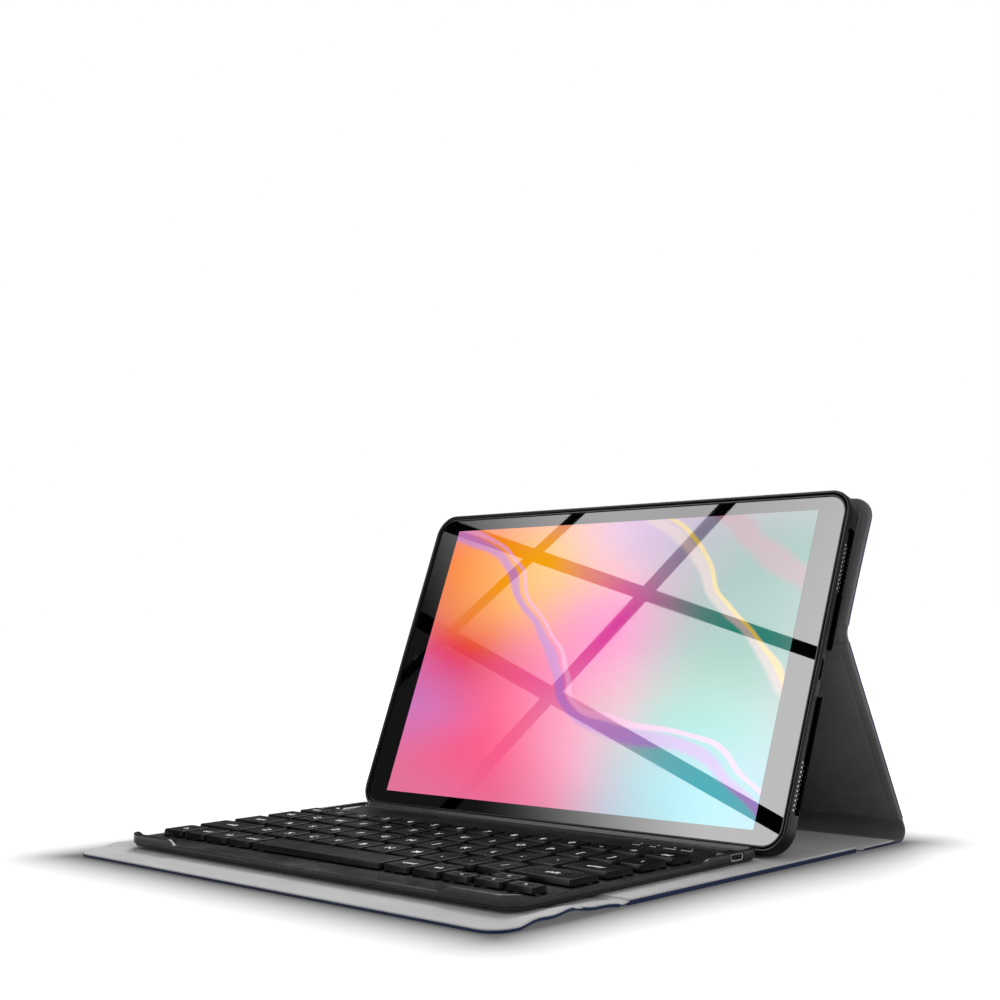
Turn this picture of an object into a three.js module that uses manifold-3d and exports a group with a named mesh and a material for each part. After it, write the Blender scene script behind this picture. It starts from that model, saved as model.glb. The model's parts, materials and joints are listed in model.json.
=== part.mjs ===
// A folding tablet keyboard case, open in its stand position, with a tablet in its shell.
// Millimetres. +X is to the typist's right, +Y towards the back of the desk, +Z up.
// The origin is on the desk, below the middle of the object.

import * as THREE from 'three';
import { mergeVertices } from 'three/addons/utils/BufferGeometryUtils.js';
import Module from 'manifold-3d';

const wasm = await Module();
wasm.setup();

// ---------------------------------------------------------------- driving dimensions

// The tablet, a 10.1 inch slate, and where it stands.
const TABLET = { width: 245.2, height: 149.4, depth: 7.5, corner: 9 };
const SCREEN = { width: 217.4, height: 135.9 };
const TABLET_TILT = 22.4 * Math.PI / 180;   // back from vertical
const SCREEN_FOOT = { y: 139.4, z: 13.0 };  // the lower edge of the lit screen

// The hard shell round the tablet.
const SHELL = { wall: 1.5, back: 1.5, gap: 0.3, rim: 0.2, round: 4, corner: 10.5 };

// The folio: stiff panels joined by soft creases.
const CASE_HALF_WIDTH = 126.4;
const SKIN = 0.7;
const BOARD = 1.0;
const LINING = 0.6;
const LAYER_GAP = 0.1;
const PANEL = SKIN + BOARD + LINING + 2 * LAYER_GAP;
const SKIN_EDGE = 1.0;
const LINING_INSET = 1.3;
const MID = PANEL / 2;

// Where each flat panel starts and ends along Y, and the crease lines between them.
const FLAP = { from: -18.5, to: 18.0, corner: 9 };
const FLAP_MAGNET = { x: 70, fromEdge: 14, length: 30, width: 9 };
const CLOSURE_SPINE = { from: 22.0, to: 41.0 };
const FRONT = { from: 45.0, to: 185.0 };
const REAR_SPINE = { from: 190.0 };
const STAND_HINGE = { y: 223.0, z: MID };
const CURL_RADIUS = 5.5;

// The stand panel and the upper back panel meet at the fold, this far up the tablet.
const FOLD_UP_TABLET = 85.0;
const FOLD_CLEARANCE = 3.5;
const GLUE = 0.3;
const UPPER_BACK = { length: 61.0, corner: 10 };

// The keyboard.
const KEYBOARD = { width: 232, depth: 133.8, frontCorner: 8, rearCorner: 4 };
const COVER = { low: 3.1, floor: 0.9, high: 4.1, inset: 0.8, wall: 1.2 };
const DECK = { low: 4.2, under: 5.1, top: 5.9, wall: 2.0 };
const RIM = { low: 6.5, front: 8.4, rear: 7.5 };
const RIM_STEP = { frontX: 80, rampX: 4.5, cornerY: 5, frontRampY: 4, rearY: 99, rearRampY: 6 };
const FOOT = { low: 2.8, high: 3.7, radius: 4.5, recess: 0.9, gap: 0.2, sides: 16 };
const FOOT_PLACE = { fromEnd: 12, fromSide: 14 };

// The keys: five rows of keycaps, front row first.
const KEY = { pitchX: 15.9, pitchY: 18.3, gapX: 1.9, gapY: 3.4, low: 6.3, high: 8.7, taper: 0.5 };
const KEY_TRAVEL = 1.2;
const KEY_WINDOW = 0.4;
const KEY_CORNER = 1.3;
const KEY_FIELD = { left: -112, front: 13.3 };
const TOP_ROW_DEPTH = 11.0;
const ARROW_GAP = 1.1;
const WEB = { width: 3.0, height: 1.0 };

// The charging socket, the power switch and the indicator window.
const SOCKET = { y: 120, z: 5.6, width: 7.4, height: 2.7, depth: 5.2, sheet: 0.4 };
const TONGUE = { below: 0.2, above: 0.3 };
const SWITCH = { y: 112, z: 5.6, width: 4.0, height: 1.3, depth: 2.5, travel: 2.0, proud: 0.8 };
const HOOD_WALL = 1.0;
const HOOD_OVERLAP = 0.5;
const INDICATORS = { x: 80, y: 122, width: 34, depth: 3.0, thick: 0.5 };

// Buttons on the tablet's upper edge.
const BUTTON = { height: 2.2, proud: 0.6, sunk: 1.0, room: 2.2 };
const POWER_BUTTON = { x: -101, length: 9 };
const VOLUME_BUTTON = { x: -80, length: 20 };
const BUTTON_CLEARANCE = 0.3;

// Openings in the shell, measured from the lower left corner of the lit screen or from its middle.
const SIDE_SLOT = { from: 8, to: 128 };
const PORT_NOTCH = { from: 58, to: 76 };
const BUTTON_SLOT = { from: -112, to: -64 };
const SLOT_BACK_LEDGE = 0.6;
const SLOT_FRONT_LEDGE = 1.6;

// The tablet's layers, from the glass down.
const GLASS = { thick: 0.7, lip: 0.8, gap: 0.2 };
const DISPLAY = { thick: 1.8, margin: 1.5 };
const HOUSING_CHAMFER = 0.8;

// The parts inside the keyboard.
const CIRCUIT_BOARD = { side: 6, from: 20, to: 102 };
const BATTERY = { half: 38, from: 105, to: 129 };
const THIN_PART = 0.8;
const KEYBOARD_MAGNETS = { left: -74, right: 66, half: 14, from: 109, to: 117 };

// How far cutting tools reach past the surface they cut, and the usual gap round an inserted part.
const PAST = 1;
const FIT = 0.3;

const CORNER_STEPS = 6;

// ---------------------------------------------------------------- materials

const COLOURS = {
  leather: { color: 0x1c3264, roughness: 0.55, metalness: 0 },
  lining: { color: 0xc8c8c8, roughness: 0.95, metalness: 0 },
  innerLining: { color: 0x3c3c3e, roughness: 0.9, metalness: 0 },
  board: { color: 0x8c7a60, roughness: 0.9, metalness: 0 },
  glue: { color: 0xe0dcc8, roughness: 0.6, metalness: 0 },
  shell: { color: 0x101012, roughness: 0.3, metalness: 0 },
  plastic: { color: 0x18181a, roughness: 0.45, metalness: 0 },
  keys: { color: 0x202022, roughness: 0.5, metalness: 0 },
  lens: { color: 0x303034, roughness: 0.2, metalness: 0 },
  rubber: { color: 0x141414, roughness: 0.95, metalness: 0 },
  circuit: { color: 0x1e5a34, roughness: 0.6, metalness: 0 },
  battery: { color: 0xb8bcc0, roughness: 0.4, metalness: 0.2 },
  steel: { color: 0xa8acb0, roughness: 0.35, metalness: 1 },
  tabletMetal: { color: 0x6e7074, roughness: 0.4, metalness: 1 },
  glass: { color: 0x0c0c0e, roughness: 0.05, metalness: 0 },
  display: { color: 0xd87ab0, roughness: 0.3, metalness: 0 },
};

// ---------------------------------------------------------------- solids

function closed(geometry) {
  const bare = geometry.index ? geometry.toNonIndexed() : geometry.clone();
  bare.deleteAttribute('normal');
  bare.deleteAttribute('uv');
  return mergeVertices(bare, 1e-4);
}

function toSolid(geometry) {
  const merged = closed(geometry);
  return new wasm.Manifold(new wasm.Mesh({
    numProp: 3,
    vertProperties: new Float32Array(merged.attributes.position.array),
    triVerts: new Uint32Array(merged.index.array),
  }));
}

function toGeometry(solid) {
  const mesh = solid.getMesh();
  const geometry = new THREE.BufferGeometry();
  geometry.setAttribute('position', new THREE.BufferAttribute(mesh.vertProperties, 3));
  geometry.setIndex(new THREE.BufferAttribute(mesh.triVerts, 1));
  geometry.computeVertexNormals();
  return geometry;
}

function cut(geometry, ...tools) {
  const solid = tools.reduce((left, tool) => left.subtract(toSolid(tool)), toSolid(geometry));
  return toGeometry(solid);
}

function join(...pieces) {
  const solid = pieces.slice(1).reduce((sum, piece) => sum.add(toSolid(piece)), toSolid(pieces[0]));
  return toGeometry(solid);
}

function common(first, second) {
  return toGeometry(toSolid(first).intersect(toSolid(second)));
}

function box(x0, x1, y0, y1, z0, z1) {
  const geometry = new THREE.BoxGeometry(x1 - x0, y1 - y0, z1 - z0);
  return geometry.translate((x0 + x1) / 2, (y0 + y1) / 2, (z0 + z1) / 2);
}

// A rectangle with rounded corners; the radii run front-left, front-right, rear-right, rear-left.
function outline(x0, x1, y0, y1, radii = [0, 0, 0, 0]) {
  const [frontLeft, frontRight, rearRight, rearLeft] = radii;
  const shape = new THREE.Shape();
  const corner = (x, y, radius, start) => {
    if (radius > 0) {
      shape.absarc(x, y, radius, start, start + Math.PI / 2, false);
    } else {
      shape.lineTo(x, y);
    }
  };
  shape.moveTo(x0 + frontLeft, y0);
  corner(x1 - frontRight, y0 + frontRight, frontRight, -Math.PI / 2);
  corner(x1 - rearRight, y1 - rearRight, rearRight, 0);
  corner(x0 + rearLeft, y1 - rearLeft, rearLeft, Math.PI / 2);
  corner(x0 + frontLeft, y0 + frontLeft, frontLeft, Math.PI);
  shape.closePath();
  return shape;
}

function plate(shape, z0, z1) {
  const options = { depth: z1 - z0, bevelEnabled: false, curveSegments: CORNER_STEPS };
  return new THREE.ExtrudeGeometry(shape, options).translate(0, 0, z0);
}

// A closed outline in the YZ plane, swept along X.
function prismAlongX(points, x0, x1) {
  const shape = new THREE.Shape(points.map(([y, z]) => new THREE.Vector2(y, z)));
  const geometry = new THREE.ExtrudeGeometry(shape, { depth: x1 - x0, bevelEnabled: false });
  const toX = new THREE.Matrix4().makeBasis(
    new THREE.Vector3(0, 1, 0), new THREE.Vector3(0, 0, 1), new THREE.Vector3(1, 0, 0));
  return geometry.applyMatrix4(toX).translate(x0, 0, 0);
}

// A closed outline in the XZ plane, swept along Y.
function prismAlongY(points, y0, y1) {
  const shape = new THREE.Shape(points.map(([x, z]) => new THREE.Vector2(x, z)));
  const geometry = new THREE.ExtrudeGeometry(shape, { depth: y1 - y0, bevelEnabled: false });
  return geometry.rotateX(Math.PI / 2).translate(0, y1, 0);
}

// ---------------------------------------------------------------- scene graph

const model = new THREE.Group();
model.name = 'tablet_keyboard_case';

function place(group, name, geometry, look) {
  const mesh = new THREE.Mesh(geometry, new THREE.MeshStandardMaterial(COLOURS[look]));
  mesh.name = name;
  group.add(mesh);
}

// A group whose +Y runs up a panel that starts at (y, z) and leans at the given angle.
function leaningGroup(y, z, angle) {
  const group = new THREE.Group();
  group.position.set(0, y, z);
  group.rotation.x = angle;
  model.add(group);
  return group;
}

// ---------------------------------------------------------------- folio panels

// The outer skin of a panel: a thin tray whose edges wrap round the board. Z runs from the
// outer face at 0 to the inner face at PANEL.
function skinTray(y0, y1, radii) {
  const reach = CASE_HALF_WIDTH;
  const outer = plate(outline(-reach, reach, y0, y1, radii), 0, PANEL - LAYER_GAP);
  const inner = reach - SKIN_EDGE;
  const innerRadii = radii.map((radius) => Math.max(0, radius - SKIN_EDGE));
  const hollow = outline(-inner, inner, y0 + SKIN_EDGE, y1 - SKIN_EDGE, innerRadii);
  return cut(outer, plate(hollow, SKIN, PANEL));
}

function insetPlate(y0, y1, radii, inset, z0, z1) {
  const reach = CASE_HALF_WIDTH - inset;
  const inner = radii.map((radius) => Math.max(0, radius - inset));
  return plate(outline(-reach, reach, y0 + inset, y1 - inset, inner), z0, z1);
}

const BOARD_LOW = SKIN + LAYER_GAP;
const LINING_LOW = BOARD_LOW + BOARD + LAYER_GAP;

function addFlap() {
  const radii = [FLAP.corner, FLAP.corner, 0, 0];
  const { x, fromEdge, length, width } = FLAP_MAGNET;
  const y = FLAP.from + fromEdge;
  const slot = (side, clearance) => box(
    side * x - length / 2 - clearance, side * x + length / 2 + clearance,
    y - width / 2 - clearance, y + width / 2 + clearance,
    BOARD_LOW - clearance, BOARD_LOW + BOARD + clearance);
  const board = insetPlate(FLAP.from, FLAP.to, radii, LINING_INSET, BOARD_LOW, BOARD_LOW + BOARD);
  place(model, 'flap_skin', skinTray(FLAP.from, FLAP.to, radii), 'leather');
  place(model, 'flap_board', cut(board, slot(-1, LAYER_GAP), slot(1, LAYER_GAP)), 'board');
  place(model, 'flap_magnet_left', slot(-1, -LAYER_GAP), 'steel');
  place(model, 'flap_magnet_right', slot(1, -LAYER_GAP), 'steel');
  const lining = insetPlate(FLAP.from, FLAP.to, radii, LINING_INSET, LINING_LOW, PANEL);
  place(model, 'flap_lining', lining, 'lining');
}

function addClosureSpine() {
  const { from, to } = CLOSURE_SPINE;
  const square = [0, 0, 0, 0];
  place(model, 'closure_spine_skin', skinTray(from, to, square), 'leather');
  const lining = insetPlate(from, to, square, LINING_INSET, BOARD_LOW, PANEL);
  place(model, 'closure_spine_lining', lining, 'lining');
}

function addFrontPanel() {
  const { from, to } = FRONT;
  const square = [0, 0, 0, 0];
  const board = insetPlate(from, to, square, LINING_INSET, BOARD_LOW, BOARD_LOW + BOARD);
  const lining = insetPlate(from, to, square, LINING_INSET, LINING_LOW, PANEL);
  place(model, 'front_panel_skin', skinTray(from, to, square), 'leather');
  place(model, 'front_panel_board', board, 'board');
  place(model, 'front_panel_lining', lining, 'lining');
}

// The angle at which the stand panel rises, and the fold point at its top.
const PANEL_TO_TABLET = SHELL.back + TABLET.depth + SHELL.gap + GLUE + 2 * LAYER_GAP + MID;
const FOLD = {
  y: SCREEN_FOOT.y + FOLD_UP_TABLET * Math.sin(TABLET_TILT) + PANEL_TO_TABLET * Math.cos(TABLET_TILT),
  z: SCREEN_FOOT.z + FOLD_UP_TABLET * Math.cos(TABLET_TILT) - PANEL_TO_TABLET * Math.sin(TABLET_TILT),
};
const STAND_ANGLE = Math.atan2(FOLD.z - STAND_HINGE.z, FOLD.y - STAND_HINGE.y);
const STAND_LENGTH = Math.hypot(FOLD.z - STAND_HINGE.z, FOLD.y - STAND_HINGE.y);
const TABLET_ANGLE = Math.PI / 2 - TABLET_TILT;
const CURL_TANGENT = CURL_RADIUS * Math.tan(STAND_ANGLE / 2);

// The rear spine lies flat, then curls up through half of the turn to the stand panel.
function addRearSpine() {
  const centreY = STAND_HINGE.y - CURL_TANGENT;
  const centreZ = MID + CURL_RADIUS;
  const curl = (radius, reverse) => Array.from({ length: CORNER_STEPS + 1 }, (_, i) => {
    const share = (reverse ? CORNER_STEPS - i : i) / CORNER_STEPS;
    const turn = share * STAND_ANGLE / 2;
    return [centreY + radius * Math.sin(turn), centreZ - radius * Math.cos(turn)];
  });
  const outer = CURL_RADIUS + MID;
  const split = outer - SKIN - LAYER_GAP / 2;
  const from = REAR_SPINE.from;
  const skin = [[from, 0], ...curl(outer, false), ...curl(split + LAYER_GAP / 2, true), [from, SKIN]];
  const inside = outer - PANEL;
  const lining = [[from + LINING_INSET, BOARD_LOW], ...curl(split - LAYER_GAP / 2, false),
    ...curl(inside, true), [from + LINING_INSET, PANEL]];
  const reach = CASE_HALF_WIDTH;
  place(model, 'rear_spine_skin', prismAlongX(skin, -reach, reach), 'leather');
  const within = reach - LINING_INSET;
  place(model, 'rear_spine_lining', prismAlongX(lining, -within, within), 'innerLining');
}

// A leaning panel in its own frame: Y up the panel, Z towards the inside of the case.
function addStandPanel() {
  const group = leaningGroup(STAND_HINGE.y, STAND_HINGE.z, STAND_ANGLE);
  const from = CURL_TANGENT;
  const to = STAND_LENGTH - FOLD_CLEARANCE;
  const square = [0, 0, 0, 0];
  const skin = skinTray(from, to, square).translate(0, 0, -MID);
  const board = insetPlate(from, to, square, LINING_INSET, BOARD_LOW, BOARD_LOW + BOARD);
  const lining = insetPlate(from, to, square, LINING_INSET, LINING_LOW, PANEL);
  place(group, 'stand_panel_skin', skin, 'leather');
  place(group, 'stand_panel_board', board.translate(0, 0, -MID), 'board');
  place(group, 'stand_panel_lining', lining.translate(0, 0, -MID), 'innerLining');
}

function addUpperBack() {
  const group = leaningGroup(FOLD.y, FOLD.z, TABLET_ANGLE);
  const from = FOLD_CLEARANCE;
  const to = UPPER_BACK.length;
  const radii = [0, 0, UPPER_BACK.corner, UPPER_BACK.corner];
  const skin = skinTray(from, to, radii).translate(0, 0, -MID);
  const board = insetPlate(from, to, radii, LINING_INSET, BOARD_LOW, PANEL);
  const glueReach = TABLET.width / 2 - SHELL.round;
  const glueShape = outline(-glueReach, glueReach, from + SHELL.round, to - SHELL.round * 2);
  place(group, 'upper_back_skin', skin, 'leather');
  place(group, 'upper_back_board', board.translate(0, 0, -MID), 'board');
  const glueLow = MID + LAYER_GAP;
  place(group, 'glue_sheet', plate(glueShape, glueLow, glueLow + GLUE), 'glue');
}

// ---------------------------------------------------------------- tablet and shell

// Both stand in a frame at the foot of the lit screen: Y up the screen, Z out of the glass.
const BEZEL = (TABLET.height - SCREEN.height) / 2;
const tabletFrame = leaningGroup(SCREEN_FOOT.y, SCREEN_FOOT.z, TABLET_ANGLE);

// An outline that stands a margin outside the tablet's own edge.
function aroundTablet(margin, corner = TABLET.corner + margin) {
  const reach = TABLET.width / 2 + margin;
  const radii = [corner, corner, corner, corner];
  return outline(-reach, reach, -BEZEL - margin, SCREEN.height + BEZEL + margin, radii);
}

function addShell() {
  const margin = SHELL.gap + SHELL.wall;
  const depth = TABLET.depth + SHELL.gap + SHELL.back;
  const flatBack = aroundTablet(margin - SHELL.round, SHELL.corner - SHELL.round);
  const rounded = new THREE.ExtrudeGeometry(flatBack, {
    depth,
    bevelEnabled: true,
    bevelThickness: SHELL.round,
    bevelSize: SHELL.round,
    bevelSegments: 4,
    curveSegments: CORNER_STEPS,
  }).translate(0, 0, SHELL.round - depth);
  const reach = TABLET.width;
  const body = common(rounded, box(-reach, reach, -reach, reach, -depth, SHELL.rim));
  const pocket = plate(aroundTablet(SHELL.gap), -TABLET.depth - SHELL.gap, SHELL.rim + PAST);
  const outside = TABLET.width / 2 + margin + PAST;
  const inside = TABLET.width / 2 - 2 * PAST;
  const top = SCREEN.height + BEZEL;
  const slotBack = SLOT_BACK_LEDGE - TABLET.depth;
  const side = box(inside, outside, SIDE_SLOT.from, SIDE_SLOT.to, slotBack, -SLOT_FRONT_LEDGE);
  const port = box(inside, outside, PORT_NOTCH.from, PORT_NOTCH.to, -depth - PAST, -SLOT_FRONT_LEDGE);
  const buttons = box(BUTTON_SLOT.from, BUTTON_SLOT.to, top - 2 * PAST, top + margin + PAST,
    slotBack, -SLOT_FRONT_LEDGE);
  place(tabletFrame, 'tablet_shell', cut(body, pocket, side, port, buttons), 'shell');
}

// The lit area with a margin on every side.
function aroundScreen(margin) {
  const reach = SCREEN.width / 2 + margin;
  return outline(-reach, reach, -margin, SCREEN.height + margin);
}

// A button on the tablet's upper edge, or the recess round it when a clearance is given.
function buttonBox({ x, length }, clearance, sunk, proud) {
  const top = SCREEN.height + BEZEL;
  const half = BUTTON.height / 2 + clearance;
  const middle = -TABLET.depth / 2;
  return box(x - length / 2 - clearance, x + length / 2 + clearance, top - sunk, top + proud,
    middle - half, middle + half);
}

function addTablet() {
  const housing = new THREE.ExtrudeGeometry(aroundTablet(-HOUSING_CHAMFER), {
    depth: TABLET.depth - 2 * HOUSING_CHAMFER,
    bevelEnabled: true,
    bevelThickness: HOUSING_CHAMFER,
    bevelSize: HOUSING_CHAMFER,
    bevelSegments: 1,
    curveSegments: CORNER_STEPS,
  }).translate(0, 0, HOUSING_CHAMFER - TABLET.depth);
  const glassRecess = plate(aroundTablet(-GLASS.lip), -GLASS.thick - LAYER_GAP, PAST);
  const displayTop = -GLASS.thick - LAYER_GAP * 2;
  const displayLow = displayTop - DISPLAY.thick;
  const displayRecess = plate(aroundScreen(DISPLAY.margin * 2), displayLow - LAYER_GAP, 0);
  const recess = (button) => buttonBox(button, BUTTON_CLEARANCE, BUTTON.room, PAST);
  const body = cut(housing, glassRecess, displayRecess, recess(POWER_BUTTON), recess(VOLUME_BUTTON));
  place(tabletFrame, 'tablet_housing', body, 'tabletMetal');
  const glass = plate(aroundTablet(-GLASS.lip - GLASS.gap), -GLASS.thick, 0);
  place(tabletFrame, 'tablet_glass', glass, 'glass');
  const display = plate(aroundScreen(DISPLAY.margin), displayLow, displayTop);
  place(tabletFrame, 'tablet_display', display, 'display');
  const button = (shape) => buttonBox(shape, 0, BUTTON.sunk, BUTTON.proud);
  place(tabletFrame, 'tablet_power_button', button(POWER_BUTTON), 'tabletMetal');
  place(tabletFrame, 'tablet_volume_button', button(VOLUME_BUTTON), 'tabletMetal');
}

// ---------------------------------------------------------------- keys

// Each row lists its keys from the left, in key pitches. A key without a name is one of the
// row's character keys, which stay together as one block.
const characterKeys = (count) => Array.from({ length: count }, () => ({ units: 1 }));
const FIELD_WIDTH = -2 * KEY_FIELD.left;
const unitsLeftAfter = (units) => FIELD_WIDTH / KEY.pitchX - units;
const ROWS = [
  [
    { name: 'key_fn', units: 1 },
    { name: 'key_control', units: 1 },
    { name: 'key_option_left', units: 1 },
    { name: 'key_command_left', units: 1 },
    { name: 'key_space', units: unitsLeftAfter(9) },
    { name: 'key_command_right', units: 1 },
    { name: 'key_option_right', units: 1 },
  ],
  [
    { name: 'key_shift_left', units: 2 },
    ...characterKeys(10),
    { name: 'key_shift_right', units: unitsLeftAfter(12) },
  ],
  [
    { name: 'key_caps_lock', units: 1.5 },
    ...characterKeys(11),
    { name: 'key_enter', units: unitsLeftAfter(12.5) },
  ],
  [
    { name: 'key_tab', units: 1.25 },
    ...characterKeys(12),
    { name: 'key_backslash', units: unitsLeftAfter(13.25) },
  ],
  [
    { name: 'key_escape', units: 1 },
    ...characterKeys(12),
    { name: 'key_backspace', units: unitsLeftAfter(13) },
  ],
];
const BLOCK_NAMES = ['', 'key_block_bottom_letters', 'key_block_home_letters',
  'key_block_top_letters', 'key_block_numbers'];

// A key's base rectangle between its neighbours' gaps.
function keyRectangle(x0, x1, y0, y1) {
  return { x0: x0 + KEY.gapX / 2, x1: x1 - KEY.gapX / 2, y0, y1 };
}

function layOutKeys() {
  const keys = [];
  ROWS.forEach((row, index) => {
    const y0 = KEY_FIELD.front + index * KEY.pitchY + KEY.gapY / 2;
    const depth = index === ROWS.length - 1 ? TOP_ROW_DEPTH : KEY.pitchY - KEY.gapY;
    let x = KEY_FIELD.left;
    for (const { name, units } of row) {
      const next = x + units * KEY.pitchX;
      keys.push({ name: name ?? BLOCK_NAMES[index], ...keyRectangle(x, next, y0, y0 + depth) });
      x = next;
    }
  });
  return [...keys, ...layOutArrows()];
}

// Half-height arrow keys at the right end of the front row, up above down.
function layOutArrows() {
  const x0 = -KEY_FIELD.left - 3 * KEY.pitchX;
  const y0 = KEY_FIELD.front + KEY.gapY / 2;
  const half = (KEY.pitchY - KEY.gapY - ARROW_GAP) / 2;
  const arrow = (name, column, rear) => {
    const low = y0 + (rear ? half + ARROW_GAP : 0);
    const left = x0 + column * KEY.pitchX;
    return { name, ...keyRectangle(left, left + KEY.pitchX, low, low + half) };
  };
  return [
    arrow('key_left', 0, false),
    arrow('key_down', 1, false),
    arrow('key_right', 2, false),
    arrow('key_up', 1, true),
  ];
}

function keycap({ x0, x1, y0, y1 }) {
  const radii = [KEY_CORNER, KEY_CORNER, KEY_CORNER, KEY_CORNER];
  const options = { depth: KEY.high - KEY.low, bevelEnabled: false, curveSegments: 2 };
  const base = outline(x0, x1, y0, y1, radii);
  const cap = new THREE.ExtrudeGeometry(base, options).translate(0, 0, KEY.low);
  const points = cap.attributes.position;
  const middle = { x: (x0 + x1) / 2, y: (y0 + y1) / 2 };
  const narrowX = 1 - 2 * KEY.taper / (x1 - x0);
  const narrowY = 1 - 2 * KEY.taper / (y1 - y0);
  for (let i = 0; i < points.count; i += 1) {
    if (points.getZ(i) > (KEY.low + KEY.high) / 2) {
      points.setX(i, middle.x + (points.getX(i) - middle.x) * narrowX);
      points.setY(i, middle.y + (points.getY(i) - middle.y) * narrowY);
    }
  }
  return cap;
}

function blockSpan(keys) {
  const first = keys[0];
  const last = keys[keys.length - 1];
  const y = (first.y0 + first.y1) / 2;
  return { x0: (first.x0 + first.x1) / 2, x1: (last.x0 + last.x1) / 2, y };
}

const keysByNode = Map.groupBy(layOutKeys(), (key) => key.name);

function addKeys() {
  for (const [name, keys] of keysByNode) {
    const caps = keys.map(keycap);
    if (caps.length > 1) {
      const span = blockSpan(keys);
      caps.push(box(span.x0, span.x1, span.y - WEB.width / 2, span.y + WEB.width / 2,
        KEY.low, KEY.low + WEB.height));
    }
    place(model, name, caps.length > 1 ? join(...caps) : closed(caps[0]), 'keys');
  }
}

// ---------------------------------------------------------------- keyboard body

function keyboardOutline(inset) {
  const reach = KEYBOARD.width / 2 - inset;
  const front = KEYBOARD.frontCorner - inset;
  const rear = KEYBOARD.rearCorner - Math.min(inset, KEYBOARD.rearCorner - 1);
  return outline(-reach, reach, inset, KEYBOARD.depth - inset, [front, front, rear, rear]);
}

// The windows the keycaps sink into, with a channel for the web that joins a block.
function keyWindows() {
  const low = DECK.low;
  const high = RIM.front;
  const tools = [];
  for (const keys of keysByNode.values()) {
    for (const { x0, x1, y0, y1 } of keys) {
      tools.push(box(x0 - KEY_WINDOW, x1 + KEY_WINDOW, y0 - KEY_WINDOW, y1 + KEY_WINDOW, low, high));
    }
    if (keys.length > 1) {
      const span = blockSpan(keys);
      const half = WEB.width / 2 + KEY_WINDOW;
      tools.push(box(span.x0, span.x1, span.y - half, span.y + half, low, high));
    }
  }
  return tools;
}

// The rim dips along the front and along both sides, with a short ramp at each step.
function rimCuts() {
  const top = RIM.front + PAST;
  const { frontX, rampX, cornerY, frontRampY, rearY, rearRampY } = RIM_STEP;
  const steepness = (top - RIM.low) / (RIM.front - RIM.low);
  const slopeX = rampX * steepness;
  const slopeFront = frontRampY * steepness;
  const dip = [[-frontX, RIM.low], [frontX, RIM.low], [frontX + slopeX, top], [-frontX - slopeX, top]];
  const front = prismAlongY(dip, -PAST, DECK.wall + PAST);
  const start = cornerY + frontRampY;
  const end = KEYBOARD.depth + PAST;
  const side = [[start, RIM.low], [rearY, RIM.low], [rearY + rearRampY, RIM.rear],
    [end, RIM.rear], [end, top], [start - slopeFront, top]];
  const reach = KEYBOARD.width / 2 + PAST;
  const inner = KEYBOARD.width / 2 - KEYBOARD.rearCorner;
  const rearFrom = KEYBOARD.depth - DECK.wall - PAST;
  return [
    front,
    prismAlongX(side, -reach, -inner),
    prismAlongX(side, inner, reach),
    box(-inner, inner, rearFrom, end, DECK.top, top),
    box(-reach, reach, rearFrom, end, RIM.rear, top),
  ];
}

// A box round a part centred at (y, z) on the keyboard's side, grown by a margin.
function sideBox(x0, x1, { y, z, width, height }, margin) {
  return box(x0, x1, y - width / 2 - margin, y + width / 2 + margin,
    z - height / 2 - margin, z + height / 2 + margin);
}

function indicatorBox(margin, low, high) {
  const { x, y, width, depth } = INDICATORS;
  return box(x - width / 2 - margin, x + width / 2 + margin,
    y - depth / 2 - margin, y + depth / 2 + margin, low, high);
}

function addDeck() {
  const slab = plate(keyboardOutline(0), DECK.low, RIM.front);
  const basin = plate(keyboardOutline(DECK.wall), DECK.top, RIM.front + PAST);
  const under = plate(keyboardOutline(DECK.wall), DECK.low - PAST, DECK.under);
  const side = KEYBOARD.width / 2;
  const port = sideBox(side - DECK.wall - PAST, side + PAST, SOCKET, FIT);
  const roomFrom = side - DECK.wall - SOCKET.depth;
  const roomTo = side - DECK.wall / 2;
  const roomHalf = SOCKET.width / 2 + FIT;
  const socketRoom = box(roomFrom, roomTo, SOCKET.y - roomHalf, SOCKET.y + roomHalf,
    DECK.low - PAST, SOCKET.z + SOCKET.height / 2 + FIT);
  const hoodHalf = SOCKET.width / 2 + HOOD_WALL;
  const hoodLow = DECK.top - HOOD_OVERLAP;
  const socketHood = box(roomFrom - HOOD_WALL, roomTo, SOCKET.y - hoodHalf, SOCKET.y + hoodHalf,
    hoodLow, RIM.rear);
  const slider = box(-side - PAST, -side + DECK.wall + SWITCH.depth,
    SWITCH.y - SWITCH.width / 2 - FIT, SWITCH.y + SWITCH.width / 2 + SWITCH.travel + FIT,
    SWITCH.z - SWITCH.height / 2 - FIT, SWITCH.z + SWITCH.height / 2 + FIT);
  const window = indicatorBox(FIT, DECK.top - INDICATORS.thick - FIT, DECK.top + PAST);
  const ledge = box(-side + DECK.wall - HOOD_OVERLAP, -side + DECK.wall + SWITCH.depth + HOOD_WALL,
    SWITCH.y - SWITCH.width, SWITCH.y + SWITCH.width + SWITCH.travel, hoodLow, RIM.rear);
  const body = join(cut(slab, basin, under, ...rimCuts()), socketHood, ledge);
  const deck = cut(body, port, socketRoom, slider, window, ...keyWindows());
  place(model, 'keyboard_deck', deck, 'plastic');
  const lens = indicatorBox(0, DECK.top - INDICATORS.thick, DECK.top);
  place(model, 'indicator_window', lens, 'lens');
}

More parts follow.
